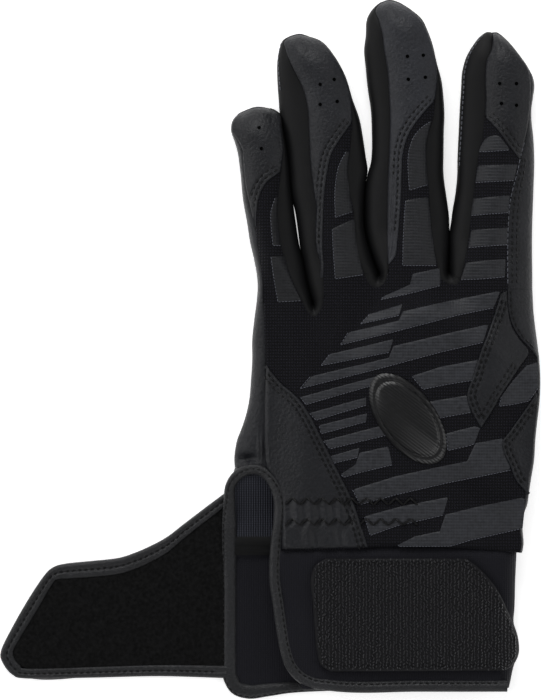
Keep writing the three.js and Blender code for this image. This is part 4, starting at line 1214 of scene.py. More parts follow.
class GLOVE_OT_back(GloveStep, bpy.types.Operator):
    """Sew the knit back of the hand with its printed stripes and its moulded pad"""

    bl_idname = "glove.back"
    bl_label = "Knit back"

    STRIPES = (
        ([(4.8, 110.2), (13.3, 113.9), (14.3, 117.6), (23.8, 119.7)],
         [(3.4, 108.8), (12.9, 110.8), (14.6, 111.3), (23.8, 113.6)]),
        ([(-7.5, 97.8), (9.5, 101.8), (10.9, 104.9), (24.8, 108.1), (44.2, 111.9)],
         [(-10.2, 93.5), (9.9, 98.4), (11.2, 98.8), (29.2, 103.5), (41.8, 106.1)]),
        ([(-0.3, 104), (10.9, 107.4)], [(-3.4, 100.6), (9.7, 103.5)]),
        ([(-20.4, 82.8), (6.1, 89.2), (7.8, 93.2), (24.8, 97.2), (40.1, 100.6)],
         [(-23.8, 78.7), (7.5, 86.7), (9.2, 87.2), (23.8, 91.1), (38.1, 94.4)]),
        ([(-13.8, 90.4), (7.8, 95.5)], [(-16.8, 86.5), (6.3, 91)]),
        ([(13.9, 83), (23.8, 86.2), (36.7, 88.6)], [(17.7, 78.5), (25.5, 80.1), (34.7, 81.6)]),
        ([(-23.8, 75.8), (4.1, 83.5)], [(-21.8, 73.3), (3.4, 80.6)]),
        ([(-20.7, 70.4), (-1.4, 75.8)], [(-18.4, 68), (-1.4, 73.1)]),
        ([(17, 74), (25.5, 75.3), (32.6, 76.5)], [(17.7, 67.7), (25.5, 69.2), (34, 70.7)]),
        ([(-17.3, 66.3), (-1, 70.4)], [(-16.7, 63.4), (-1.4, 67.5)]),
        ([(-16, 61), (6.8, 67)], [(-13.6, 58.3), (7.5, 63.4)]),
        ([(25.5, 63.6), (35.4, 66.1), (37.1, 65.3)], [(26.2, 57.8), (34, 59.6), (35.2, 60.2)]),
        ([(-13.6, 55.8), (-3.6, 58.7)], [(-12.4, 53.4), (-4.2, 55.4)]),
        ([(-9.9, 49.8), (-5.1, 52.9), (-3.6, 57), (6.1, 59.2)],
         [(-9.2, 48.6), (-4.4, 50), (-2.4, 50.5), (7.5, 52.9)]),
        ([(-6.1, 44.5), (8.5, 49), (25.5, 52.7), (32.6, 54.2), (35.5, 60.4), (45.2, 62.1)],
         [(-3.4, 39.4), (8.5, 42.7), (25.5, 46.6), (32.6, 48.1), (37.4, 49.1), (47.6, 51.2)]),
        ([(-2, 35.4), (10.2, 38.8), (26.5, 42)], [(0, 28.9), (8.5, 32), (24.7, 35.8)]),
        ([(9.5, 25.7), (15.1, 28.6), (23.6, 30.4), (25.5, 36.1), (35.7, 38.6), (52.7, 42.2)],
         [(9.9, 25.2), (15.3, 25.2), (23.8, 25.2), (27.2, 25.3), (34.7, 27.5), (51.7, 31.3)]),
        ([(44.2, 76.2), (48.3, 81.6), (53, 86.7), (56.8, 87.7)],
         [(43.5, 72.8), (47.9, 73.3), (53.7, 74.5), (56.8, 78.9)]),
    )
    PAD_CENTRE = (12.6, 68.5)
    PAD_LENGTH = 36.0
    PAD_WIDTH = 19.0
    PAD_HEIGHT = 1.8
    PAD_TURN = radians(-53)
    PAD_THICKNESS = 1.2
    PAD_LIFT = 0.2
    PAD_EDGE = 0.45
    PAD_GROOVE = 0.83
    PAD_GROOVE_WIDTH = 0.035
    PAD_GROOVE_DEPTH = 0.45
    PRINT_THICKNESS = 0.45
    PRINT_LIFT = 0.22
    PRINT_ROLL = 0.25

    def execute(self, context):
        knit = context.scene.glove_sizes.knit / MM
        top = [FINGERS["pinky"]["left_seam"][0]]
        for crotch in CROTCH_TOPS.values():
            top.append(Line(crotch)(np.linspace(0, 1, 24)))
        top.append(FINGERS["index"]["right_seam"][0])
        top_line = joined(*[np.atleast_2d(part) for part in top])
        left = joined(Line(HEEL_LEFT + [tuple(FOLD(0.0))]).dense, FOLD.dense[1:])
        right = joined(RIGHT_EDGE.dense, INDEX_EDGE.dense[1:])
        plan = spanned(left, right, WRIST_LINE, top_line, *grid(130, 110, 0.0))
        points = laid(plan, back_height, 0, (0, 0, HEM_ROLL, 0))
        points[..., 2] -= left_tuck(plan)
        panel("knit_back", points, knit, "knit", "back_panel")
        self.stripes()
        self.pad()
        return {"FINISHED"}

    def stripes(self):
        """The printed stripes, a little over the knit, with pale dashes along their lower and left edges: a
        painted highlight where light catches those edges.
        """
        u, v = grid(60, 12, 0.0)
        grids = []
        edges = []
        ends = []
        for upper, lower in self.STRIPES:
            plan = ruled(cornered(lower), cornered(upper), v, u)
            grids.append(laid(plan, back_height, self.PRINT_LIFT, (self.PRINT_ROLL,) * 4))
            edges.append(on(joined(lower), back_height, self.PRINT_LIFT, 200))
            ends.append(on(joined([upper[0], lower[0]]), back_height, self.PRINT_LIFT, 30))
        sew(sheets("printed_stripes", grids, self.PRINT_THICKNESS, cloth("print")), "hand")
        # Painted highlight: pale dashes along the lower and left edges of each stripe.
        sew(stitches("stripe_edge_highlights", edges + ends, share=0.5, stuff="edge_highlight"), "hand")

    def pad(self):
        """An oval pad: a square grid a, b drawn into the oval, with a low dome and a groove inside its rim.

        With r from 0 in its middle to 1 at its rim, the dome falls as 1 - r ** 2 and ends by 1 - r ** 8."""
        a, b = np.meshgrid(np.linspace(-1, 1, 61), np.linspace(-1, 1, 61))
        along = self.PAD_LENGTH / 2 * a * np.sqrt(1 - b**2 / 2)
        across = self.PAD_WIDTH / 2 * b * np.sqrt(1 - a**2 / 2)
        r = np.hypot(along / self.PAD_LENGTH, across / self.PAD_WIDTH) * 2
        x = self.PAD_CENTRE[0] + along * np.cos(self.PAD_TURN) - across * np.sin(self.PAD_TURN)
        y = self.PAD_CENTRE[1] + along * np.sin(self.PAD_TURN) + across * np.cos(self.PAD_TURN)
        dome = self.PAD_EDGE + (1 - self.PAD_EDGE) * (1 - r**2)
        dome = self.PAD_HEIGHT * dome * np.sqrt(np.maximum(1 - r**8, 0))
        groove = self.PAD_GROOVE_DEPTH * bell(r - self.PAD_GROOVE, self.PAD_GROOVE_WIDTH)
        z = back_height(x, y) + self.PAD_LIFT + dome - groove
        points = np.stack([x, y, z], axis=2)
        pad = sheets("moulded_pad", [points], self.PAD_THICKNESS, cloth("rubber"))
        stands_for(sew(pad, "hand"), "back_badge")


class GLOVE_OT_leather_panels(GloveStep, bpy.types.Operator):
    """Sew the leather heel, the two overlays and the elastic under the zigzag rows"""

    bl_idname = "glove.leather_panels"
    bl_label = "Leather panels"

    HEEL_FOLD = ((-35.7, 56.1), (-35.9, 68), (-35.7, 78.2), (-35.4, 86.4))
    HEEL_RIGHT = (
        (-0.7, 24.8), (-4.1, 35.7), (-6.8, 42.5), (-10.2, 49.3), (-13.6, 56.1), (-17, 62.9), (-20.4, 69.7),
        (-23.8, 74.8), (-30.6, 80.9), (-35.2, 86.7),
    )
    KNUCKLE_LEFT = (
        (37.4, 65.3), (34, 71.4), (32.6, 75.8), (34.7, 83.3), (37.4, 91.8), (40.1, 98.6), (42.5, 105.4),
        (44.2, 110.8),
    )
    KNUCKLE_RIGHT = (
        (37.4, 65.3), (40.8, 70.7), (44.2, 76.5), (47.6, 81.6), (51, 86.7), (53.7, 91.1), (50.3, 95.9),
        (47.9, 100.3), (46.8, 105.4), (46.4, 111.9),
    )
    THUMB_LEFT = (
        (53.4, 42.7), (51.9, 44.5), (49.3, 47.6), (47.2, 52.7), (45.1, 57), (44.5, 60.9), (46.8, 63.8),
        (51, 69.7), (55.3, 75.7), (56.3, 77.2),
    )
    THUMB_RIGHT = (
        (53.6, 42.8), (53.7, 47.6), (54.9, 54.4), (55.4, 61.2), (56.1, 68), (56.6, 73.1), (56.4, 77.4),
    )
    HEEL_ROWS = (1.5, 3.0)
    HEEL_GROOVE = 0.22
    HEEL_ROW_LIFT = 0.02
    HEEL_EDGES_X = (-32, 0.5)
    KNUCKLE_ROWS = (1.2, 2.7)
    THUMB_ROWS = (1.2, 2.6)
    GROOVE_DEPTH = 0.2
    ROW_LIFT = 0.05
    EDGE_ROLL = 0.7
    END_ROLL = 0.3
    ZIGZAG_ROWS = ((-28.9, 40.5), (-28.9, 33.5))
    ZIGZAG_WIDTH = 2.4
    ZIGZAG_PERIOD = 5.0
    ZIGZAG_COUNT = 9
    ZIGZAG_LIFT = 0.25
    ZIGZAG_THREAD = 1.4
    KNIT_LIFT = 0.25
    HEEL_END_X = -5.1
    PLEAT_PITCH = 5.0
    PLEAT_TOP = 41.5
    PLEAT_HEIGHT = 0.42
    FOLD_PITCH = 7.6
    FOLD_TOP = 33.0
    FOLD_HEIGHT = 0.32
    FADE = 2.5
    ELASTIC_X = (-29.0, 15.0)
    ELASTIC_Y = (32.0, 41.0)
    ELASTIC_RIB_PITCH = 1.3
    ELASTIC_RIB = 0.15
    ELASTIC_BELOW = 2.3
    ELASTIC_THICKNESS = 0.9

    def heel_height(self, x, y):
        """The back, gathered by the elastic: pleats between the zigzag rows and broad folds below them."""
        low, high = self.HEEL_EDGES_X
        across = ease((x - low) / 4) * ease((high - x) / 4)
        pleats = np.cos(2 * pi * x / self.PLEAT_PITCH + 0.5 * np.sin(y / 3.0))
        between = ease((self.PLEAT_TOP - y) / self.FADE) * ease((y - self.FOLD_TOP + self.FADE) / self.FADE)
        folds = np.sin(2 * pi * x / self.FOLD_PITCH + 0.5) + 0.5 * np.sin(2 * pi * x / 4.3 + y / 4)
        below = ease((self.FOLD_TOP + 1.5 - y) / 4)
        gathers = self.PLEAT_HEIGHT * pleats * between + self.FOLD_HEIGHT * folds * below
        return back_height(x, y) + OVERLAY_LIFT + gathers * across

    def execute(self, context):
        leather = context.scene.glove_sizes.leather / MM
        rows = self.heel(leather) + self.knuckle(leather) + self.thumb_base(leather)
        sew(stitches("panel_stitches", rows), "hand")
        self.zigzag()
        self.elastic()
        return {"FINISHED"}

    def heel(self, leather):
        """The heel, tucked down at its left edge. Gives its rows of stitches, as the next two do."""
        left = Line(HEEL_LEFT + [tuple(FOLD(0.0)), *self.HEEL_FOLD])
        right = Line(self.HEEL_RIGHT)
        plan = ruled(left, right, *grid(70, 90, 0.5))
        seams = [(1, row, self.HEEL_GROOVE) for row in self.HEEL_ROWS]
        points = laid(plan, self.heel_height, 0, (0, self.EDGE_ROLL, HEM_ROLL, 0), seams)
        points[..., 2] -= left_tuck(plan)
        panel("heel_leather", points, leather, "leather", "heel_panel")
        rows = [right.beside(row) for row in self.HEEL_ROWS]
        return [on(row, self.heel_height, self.HEEL_ROW_LIFT, end=0.97) for row in rows]

    def knuckle(self, leather):
        """The slanting patch below the index finger."""
        left, right = Line(self.KNUCKLE_LEFT), Line(self.KNUCKLE_RIGHT)
        rolls = (self.EDGE_ROLL, self.EDGE_ROLL, 0, self.END_ROLL)
        seams = [(0, row, self.GROOVE_DEPTH) for row in self.KNUCKLE_ROWS]
        points = laid(ruled(left, right, *grid(44, 80, 0.6)), overlay_height, 0, rolls, seams)
        panel("knuckle_leather", points, leather, "leather", "knuckle_overlay")
        rows = [self.row(left.beside(-row), 0.06, 0.97) for row in self.KNUCKLE_ROWS]
        return rows + [self.row(right.beside(row), 0.05, 0.47) for row in self.KNUCKLE_ROWS]

    def thumb_base(self, leather):
        """The patch over the root of the thumb."""
        left, right = Line(self.THUMB_LEFT), Line(self.THUMB_RIGHT)
        seams = [(0, row, self.GROOVE_DEPTH) for row in self.KNUCKLE_ROWS]
        rolls = (self.EDGE_ROLL, self.END_ROLL, 0, 0)
        points = laid(ruled(left, right, *grid(24, 70, 0.6)), overlay_height, 0, rolls, seams)
        panel("thumb_base_leather", points, leather, "leather", "thumb_base_overlay")
        return [self.row(left.beside(-row), 0.1, 0.92) for row in self.THUMB_ROWS]

    def row(self, line, start, end):
        """A row of stitches on a patch, along part of a line."""
        return on(line, overlay_height, self.ROW_LIFT, start=start, end=end)

    def zigzag(self):
        """Two rows of zigzag stitches that start on the heel and run on over the knit."""
        legs = []
        corner = np.arange(2 * self.ZIGZAG_COUNT + 1)
        for start_x, middle_y in self.ZIGZAG_ROWS:
            x = start_x + corner * self.ZIGZAG_PERIOD / 2
            y = middle_y + self.ZIGZAG_WIDTH * (corner % 2 - 0.5)
            on_knit = back_height(x, y) + self.KNIT_LIFT
            z = np.where(x < self.HEEL_END_X, self.heel_height(x, y), on_knit)
            corners = np.column_stack([x, y, z + self.ZIGZAG_LIFT])
            legs += [corners[i : i + 2] for i in range(len(corners) - 1)]
        leg = np.hypot(self.ZIGZAG_PERIOD / 2, self.ZIGZAG_WIDTH)
        sew(stitches("zigzag_stitches", legs, length=leg, share=self.ZIGZAG_THREAD), "hand")

    def elastic(self):
        """The ribbed elastic band inside, under the zigzag rows."""
        u, v = grid(60, 16, 0.2)
        x, y = mix(*self.ELASTIC_X, u), mix(*self.ELASTIC_Y, v)
        ribs = self.ELASTIC_RIB * np.sin(2 * pi * y / self.ELASTIC_RIB_PITCH)
        points = np.stack([x, y, back_height(x, y) - self.ELASTIC_BELOW + ribs], axis=2)
        panel("wrist_elastic_band", points, self.ELASTIC_THICKNESS, "side_cloth", "wrist_elastic")


class GLOVE_OT_crotches(GloveStep, bpy.types.Operator):
    """Sew the side cloth that turns between two fingers"""

    bl_idname = "glove.crotches"
    bl_label = "Crotches"

    THICKNESS = 0.6

    def execute(self, context):
        for name, top in CROTCH_TOPS.items():
            points = wall(Line(top), Line(CROTCH_FEET[name]), back_height, on_table, 24, 40)
            panel(name + "_cloth", points, self.THICKNESS, "side_cloth", name)
        return {"FINISHED"}


class GLOVE_OT_fingers(GloveStep, bpy.types.Operator):
    """Sew the four fingers: palm leather, sides, knit backs, caps, prints, vents and stitches"""

    bl_idname = "glove.fingers"
    bl_label = "Fingers"

    OUTER_LEATHER = {"pinky": "left", "index": "right"}
    OUTER_SEWN = 0.5
    OUTER_ROWS = (0.09, 0.19)
    # Where a painted highlight, a line of pale dashes, runs down a finger's left strip: its span along the
    # strip, its depth down it and its shift.
    EDGE_HIGHLIGHTS = {"ring": (0.78, 0.96), "index": (0.42, 0.96)}
    EDGE_HIGHLIGHT_DEPTH = 0.56
    EDGE_HIGHLIGHT_SHIFT = (-0.1, 0, 0.1)
    ROW_LIFT = 0.05
    SIDE_THICKNESS = 0.7
    SIDE_BELOW = 0.3
    PALM_INSET = 0.3
    PALM_ROLL = 1.2
    PALM_RISE = 0.7
    CAP_LIFT = 0.45
    CAP_ROLL = 0.5
    CAP_ROWS = (1.3, 2.8)
    CAP_GROOVE = 0.2
    CAP_ROW_LIFT = 0.3
    CAP_ROW_INSET = 0.9
    TIP_REACH = 0.5
    PRINT_THICKNESS = 0.4
    PRINT_LIFT = 0.2
    VENT_LIFT = 0.47
    VENT_RADIUS = (0.64, 0.6, 0.48, 0.0)
    VENT_HEIGHT = (-0.3, 0.13, 0.11, 0.03)
    VENT_SIDES = 12

    def execute(self, context):
        for name, lines in FINGERS.items():
            finger = Finger(name, lines)
            self.front(finger)
            self.sides(finger)
            self.top(finger)
            self.cap_stitches(finger)
            self.prints(finger)
            self.vents(finger)
        return {"FINISHED"}

    def front(self, finger):
        """Palm side: a flat strip of leather with its edges turned up."""
        lines = finger.left.beside(-self.PALM_INSET), finger.right.beside(self.PALM_INSET)
        plan = ruled(*lines, *grid(20, 70, 0.5))
        left, right, _, last = (rolled(distance, self.PALM_ROLL) for distance in edge_distances(plan))
        points = raised(plan, self.PALM_RISE * (left + right + last).clip(0, self.PALM_ROLL))
        leather = bpy.context.scene.glove_sizes.leather / MM
        piece = sheet(finger.name + "_palm_leather", points, leather, cloth("leather"), DOWN)
        stands_for(bend(piece, finger), finger.name + "_front")

    def sides(self, finger):
        """The two side strips, with the stitches on the index's right one, and pale dashes that paint a
        highlight down the left strips of the ring and index and along the index's right seam.
        """
        for side, seam, edge, facing in (
            ("left", finger.left_seam, finger.left, -1),
            ("right", finger.right_seam, finger.right, 1),
        ):
            stuff = "leather" if self.OUTER_LEATHER.get(finger.name) == side else "side_cloth"
            lines = seam, edge, self.seam_height(finger), on_table
            points = wall(*lines, 18, 110)
            name = f"{finger.name}_{side}_strip"
            piece = sheet(name, points, self.SIDE_THICKNESS, cloth(stuff), (facing, 0, 0.6))
            stands_for(bend(piece, finger), f"{finger.name}_{side}_side")
            # A painted highlight: a pale dashed line down the left strip, where light catches its edge.
            if side == "left" and finger.name in self.EDGE_HIGHLIGHTS:
                share = np.linspace(*self.EDGE_HIGHLIGHTS[finger.name], 200)
                row = wall_at(*lines, self.EDGE_HIGHLIGHT_DEPTH + 0 * share, share) + self.EDGE_HIGHLIGHT_SHIFT
                bend(stitches(finger.name + "_strip_edge_highlight", [row], share=0.8, stuff="edge_highlight"), finger)
            if (finger.name, side) == ("index", "right"):
                share = np.linspace(0.02, self.OUTER_SEWN, 300)
                lift = (0, 0, self.ROW_LIFT)
                rows = [wall_at(*lines, t + 0 * share, share) + lift for t in self.OUTER_ROWS]
                bend(stitches(finger.name + "_side_stitches", rows), finger)
                # A painted highlight: pale dashes along the right seam from its root, where light catches it.
                row = on(seam, finger.height, self.ROW_LIFT, start=0.02, end=0.56)
                bend(stitches(finger.name + "_seam_highlight", [row], 1.5, 0.6, "edge_highlight"), finger)

    def seam_height(self, finger):
        """Height of a side where it meets the back, just under it."""
        return lambda x, y: finger.height(x, y) - self.SIDE_BELOW

    def top(self, finger):
        """The knit back and the cap, which is turned down over the fingertip as the sides are."""
        sizes = bpy.context.scene.glove_sizes
        points = laid(finger.back_plan(), finger.height)
        piece = sheet(finger.name + "_knit", points, sizes.knit / MM, cloth("knit"))
        stands_for(bend(piece, finger), finger.name + "_back")
        plan = finger.cap_plan()
        points = laid(plan, finger.height, self.CAP_LIFT, (self.CAP_ROLL, self.CAP_ROLL, 0, 0))
        for row in self.CAP_ROWS:
            points[..., 2] -= self.CAP_GROOVE * bell(finger.cap.distance(plan) - row, GROOVE_WIDTH)
        foot = Line([finger.left(1.0), finger.tip(0.5) + self.TIP_REACH * finger.forward, finger.right(1.0)])
        edge = foot(np.linspace(0, 1, points.shape[1]))
        last = points[-1]
        turned_down = bulged(last[:, :2], edge, last[:, 2], FOOT, spread(10, 0.5)[1:, None])
        points = np.concatenate([points, turned_down])
        piece = sheet(finger.name + "_cap_leather", points, sizes.leather / MM, cloth(finger.name + "_hide"))
        stands_for(bend(piece, finger), finger.name + "_tip_cap")

    def cap_stitches(self, finger):
        """Two rows of stitches along the cap's edge, as far as each lies between the seams."""
        way = 1 if finger.cap_low_left else -1
        starts = finger.tail / 3 + 0.03, finger.tail + 0.03
        rows = []
        for distance, start in zip(self.CAP_ROWS, starts):
            row = on(finger.cap.beside(way * distance), finger.height, self.CAP_ROW_LIFT, start=start)
            x, y = row[:, 0], row[:, 1]
            low = finger.left_seam.x_at(y) + self.CAP_ROW_INSET
            high = finger.right_seam.x_at(y) - self.CAP_ROW_INSET
            rows.append(row[(x > low) & (x < high)])
        bend(stitches(finger.name + "_cap_stitches", rows), finger)

    def prints(self, finger):
        """The prints, with pale dashes along their left and lower edges, or the lower one if level: a painted
        highlight where light catches those edges.
        """
        u, v = grid(40, 14, 0.2)
        grids = []
        edges = []
        for a, b in finger.prints:
            plan = ruled(Line(a), Line(b), v, u)
            grids.append(laid(plan, finger.height, self.PRINT_LIFT, (self.PRINT_LIFT,) * 4))
            level = abs(a[-1][0] - a[0][0]) > abs(a[-1][1] - a[0][1])
            edges += [b] if level else [a, [a[0], b[0]]]
        piece = sheets(finger.name + "_prints", grids, self.PRINT_THICKNESS, cloth(finger.name + "_print"))
        bend(piece, finger)
        # Painted highlight: pale dashes along the left and lower edges of the prints.
        rows = [on(Line(edge), finger.height, self.PRINT_LIFT, 60) for edge in edges]
        bend(stitches(finger.name + "_edge_highlights", rows, share=0.5, stuff="edge_highlight"), finger)

    def vents(self, finger):
        """Vent holes: dark round caps of four rings, each laid along the slope of the leather round it."""
        x, y = np.array(finger.vents).T
        slope_x = finger.height(x + 0.5, y) - finger.height(x - 0.5, y)
        slope_y = finger.height(x, y + 0.5) - finger.height(x, y - 0.5)
        centres = np.column_stack([x, y, finger.height(x, y) + self.VENT_LIFT])
        ahead = unit(np.column_stack([np.ones_like(x), 0 * x, slope_x]))
        up = np.column_stack([-slope_x, -slope_y, np.ones_like(x)])
        turn = np.arange(self.VENT_SIDES) * 2 * pi / self.VENT_SIDES
        radius, height = np.array(self.VENT_RADIUS)[:, None], np.array(self.VENT_HEIGHT)[:, None]
        rings = np.stack([radius * np.cos(turn), radius * np.sin(turn), height + 0 * turn], axis=2)
        index = np.arange(rings.size // 3).reshape(rings.shape[:2])
        faces = quads(np.hstack([index, index[:, :1]]))[:, ::-1].tolist() + [index[0].tolist()]
        name = finger.name + "_vents"
        bend(repeated(name, rings.reshape(-1, 3), faces, centres, ahead, up, cloth("vent")), finger)


class GLOVE_OT_thumb(GloveStep, bpy.types.Operator):
    """Sew the thumb that is folded under the palm, and the web that joins it to the hand"""

    bl_idname = "glove.thumb"
    bl_label = "Thumb"

    BLUNTNESS = 0.42
    MOUTH = 0.03
    SETTLED = 0.35
    ROUND_FROM = 0.8
    ROUND_LENGTH = 0.2
    INNER_LEVEL = THUMB_HEIGHT - 0.2
    OUTER_LEVEL = 0.05
    EDGE_ROLL = 1.6
    EDGE_DROP = 0.8
    MOST_DROP = 1.4
    STRIP_LEVELS = (1.0, THUMB_HEIGHT - 1.2)
    STRIP_INSET = 0.4
    STRIP_BULGE = 0.6
    STRIP_THICKNESS = 0.7
    WEB = ((50.4, 79.4), (54.8, 77.0), (56.3, 72.5), (55.8, 61), (54.6, 50.5), (53.4, 46.2), (51.6, 44.6))
    WEB_DEPTH = 3.6
    WEB_LAP = 0.1
    WEB_RISE = 0.3

    def edge(self, share, side):
        """Plan of the outline at a share of the length.

        It turns from the hand's side into the thumb's own, and its width ends in a quarter of an ellipse."""
        settle = ease(share / self.SETTLED)
        aside = unit(np.stack([np.sin(THUMB_TURN) * settle, mix(1.0, -np.cos(THUMB_TURN), settle)], axis=-1))
        forward = np.array([np.cos(THUMB_TURN), np.sin(THUMB_TURN)])
        end = np.clip((share - self.ROUND_FROM) / self.ROUND_LENGTH, 0, 1)
        half = mix(THUMB_MOUTH, THUMB_WIDTH, settle) / 2 * mix(self.BLUNTNESS, 1.0, np.sqrt(1 - end**2))
        return THUMB_ROOT + share[:, None] * THUMB_LENGTH * forward + side * half[:, None] * aside

    def execute(self, context):
        leather = context.scene.glove_sizes.leather / MM
        share = 1 - (1 - self.MOUTH) * (1 - np.linspace(0, 1, 70)) ** 1.6
        low, high = joined(self.edge(share, -1)), joined(self.edge(share, 1))
        plan = ruled(low, high, *grid(24, 60, 0.5))
        left, right, _, last = (rolled(distance, self.EDGE_ROLL) for distance in edge_distances(plan))
        drop = self.EDGE_DROP * (left + right + last).clip(0, self.MOST_DROP)
        inner, outer = raised(plan, self.INNER_LEVEL - drop), raised(plan, self.OUTER_LEVEL + drop)
        panel("thumb_inner_leather", inner, leather, "leather", "thumb_front", UP, body="thumb")
        panel("thumb_outer_leather", outer, leather, "leather", "thumb_back", DOWN, body="thumb")
        self.strip(joined(low.dense, high.dense[::-1]))
        self.web(leather)
        return {"FINISHED"}

    def strip(self, loop):
        """The strip between the two leathers: with t from 0 to 1 as it climbs, it bulges out by sin(pi t)."""
        t, v = grid(12, 130, 0.0)
        inner, outer = loop.beside(self.STRIP_INSET), loop.beside(-self.STRIP_BULGE)
        plan = mix(inner(v), outer(v), np.sin(pi * t)[..., None])
        points = raised(plan, mix(*self.STRIP_LEVELS, t))
        thickness, facing = self.STRIP_THICKNESS, (1, -1, 0)
        panel("thumb_side_strip", points, thickness, "side_cloth", "thumb_side", facing, body="thumb")

    def web(self, leather):
        """A fold of leather round the thumb's mouth: it laps under the thumb, swells out and climbs."""
        t, v = grid(30, 80, 0.3)
        swell = np.sin(pi / 2 * np.clip(t / 0.4, 0, 1)) - 0.25 * ease((t - 0.5) / 0.5)
        tuck = (1 - swell) * (1 - 0.75 * np.abs(2 * v - 1) ** 4)
        plan = Line(self.WEB)(v) - self.WEB_DEPTH * tuck[..., None] * (1, 0)
        top = height_over(plan, palm_edge) + self.WEB_RISE
        points = raised(plan, top * ease((t - self.WEB_LAP) / (1 - self.WEB_LAP)))
        piece = sheet("thumb_web", points, leather, cloth("leather"), (1, 0, -0.3))
        start, end = metres(*THUMB_ROOT, THUMB_HEIGHT + 1.0), metres(*THUMB_ROOT, 1.0)
        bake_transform(piece)


class GLOVE_OT_cuff(GloveStep, bpy.types.Operator):
    """Sew the neoprene cuff, the lining seen in its slit and the tape that binds its edge"""

    bl_idname = "glove.cuff"
    bl_label = "Cuff"

    SLIT_EDGE = (
        (-23.1, -23.8), (-24.8, -16), (-26.5, -12.9), (-27.5, -8.5), (-28.9, 0), (-30.3, 10.2),
        (-31.3, 18.7), (-31.3, 24.5),
    )
    RIGHT = (
        (47.3, -23.8), (47.9, -21.1), (49, -16), (50.3, -11.9), (50.3, -5.8), (49, -0.7), (49.3, 3.4),
        (49.6, 13.6), (50, 22.8),
    )
    BINDING = (
        (46.6, -22.3, 10.4), (17, -22.3, 10.4), (-12.9, -22.1, 10.4), (-19.7, -21.1, 10.4),
        (-23.5, -19.2, 10.4), (-26.7, -15.6, 10.4), (-28.6, -10.2, 10.5), (-29.9, -3.4, 10.5),
        (-31.1, 5.1, 10.5), (-32.3, 13.6, 10.6), (-32.3, 20.4, 10.7), (-31.8, 27.2, 10.8),
        (-30.9, 34, 10.9), (-30.9, 40.8, 10.8), (-32.1, 45.2, 10.5), (-34.7, 49.1, 10),
        (-38.1, 51.2, 9.4), (-41.8, 51, 8.6), (-45.2, 49, 7.8), (-47.4, 45.6, 6.6),
        (-47.8, 40.8, 5.4), (-47.9, 32.3, 3.6), (-47.9, 23.8, 2.3), (-47.9, 13.6, 1.7),
        (-47.9, 0, 1.6), (-47.9, -13.6, 1.6), (-47.6, -19.8, 1.6), (-45.4, -23.6, 1.6),
        (-41.2, -24.9, 1.6), (-35.5, -24.4, 1.6), (-27.9, -23.5, 1.6), (-13.6, -22.8, 1.6),
        (17, -22.8, 1.6), (46.6, -22.8, 1.6),
    )
    HALF_WIDTHS = (
        (0, 2.0), (6, 2.0), (14, 1.9), (19, 1.75), (20, 2.0), (21, 2.5), (28, 2.5), (30, 2.0), (33, 1.6),
    )
    ROW_SHARES = ((0, 0.5), (13, 0.5), (15, 0.1), (18, 0.1), (21, 0.8), (33, 0.8))
    TALL = 1.45
    ROW_GROOVE = 0.35
    ROW_GROOVE_WIDTH = 0.15
    ROW_BELOW = 0.2
    EDGE_SEWN = slice(4, 330)
    HEM_SEWN = slice(340, 385)
    ARC = 5.5
    HEM_Y = -23.2
    RISE = 0.5
    RIPPLE = 0.25
    WAVE = 0.3
    TUCK = 1.4
    TOP_TUCK_Y = (22, 25.5)
    UNDER_TUCK_Y = (21, 24)
    UNDER_LEFT = -46.5
    LINING_LEFT = ((27.9, -47.0), (41.8, -47.5), (45.6, -47.0), (49, -44.8), (51.3, -41.4))
    LINING_RIGHT = -31.6
    LINING_LEVEL = 3.2
    LINING_CLIMB = 4.6
    LINING_TILT = 1.3
    LINING_THICKNESS = 0.15
    RIB_HEIGHT = 0.2
    TAPE_X = (-46.0, -31.6)
    TAPE_Y = (21.8, 28.4)
    TAPE_THICKNESS = 0.9

    def execute(self, context):
        sizes = context.scene.glove_sizes
        self.band(sizes.neoprene / MM)
        self.lining(sizes.rib_pitch / MM)
        self.tape()
        self.binding()
        return {"FINISHED"}

    def band(self, thickness):
        """A flat tube open along its slit: across the back, round the right side and back under the palm.

        The back ripples faintly by sines, and the right side is half an ellipse."""
        top, side, under = 44, 20, 50
        v = np.linspace(0, 1, 60)[:, None]
        y = mix(self.HEM_Y, WRIST_Y + 1.5, v)
        right = Line(self.RIGHT).x_at(y) - self.ARC
        slit = Line(self.SLIT_EDGE).x_at(y)
        ripple = self.RIPPLE * np.sin(y / 4.5) * np.sin(right / 9)
        high = CUFF_TOP + self.RISE * ease(v) - self.tuck(y, *self.TOP_TUCK_Y) + ripple
        x_top = mix(slit, right, np.linspace(0, 1, top)[None])
        z_top = high + 0 * x_top + self.WAVE * np.sin(x_top / 11 + y / 8)
        angle = np.linspace(pi / 2, -pi / 2, side + 2)[None, 1:-1]
        z_join = z_top[:, -1:]
        x_side = right + self.ARC * np.cos(angle)
        z_side = z_join / 2 + z_join / 2 * np.sin(angle)
        x_under = mix(right, self.UNDER_LEFT, np.linspace(0, 1, under)[None])
        z_under = self.tuck(y, *self.UNDER_TUCK_Y) + 0 * x_under
        x = np.hstack([x_top, x_side, x_under])
        z = np.hstack([z_top, z_side, z_under])
        points = np.stack([x, y + 0 * x, z], axis=2)
        panel("cuff_jersey", points, thickness, "neoprene", "cuff_band", (1, 0, 0))

    def tuck(self, y, start, end):
        """How far the cuff is drawn in, where it goes under the hand at the wrist."""
        return self.TUCK * ease((y - start) / (end - start))

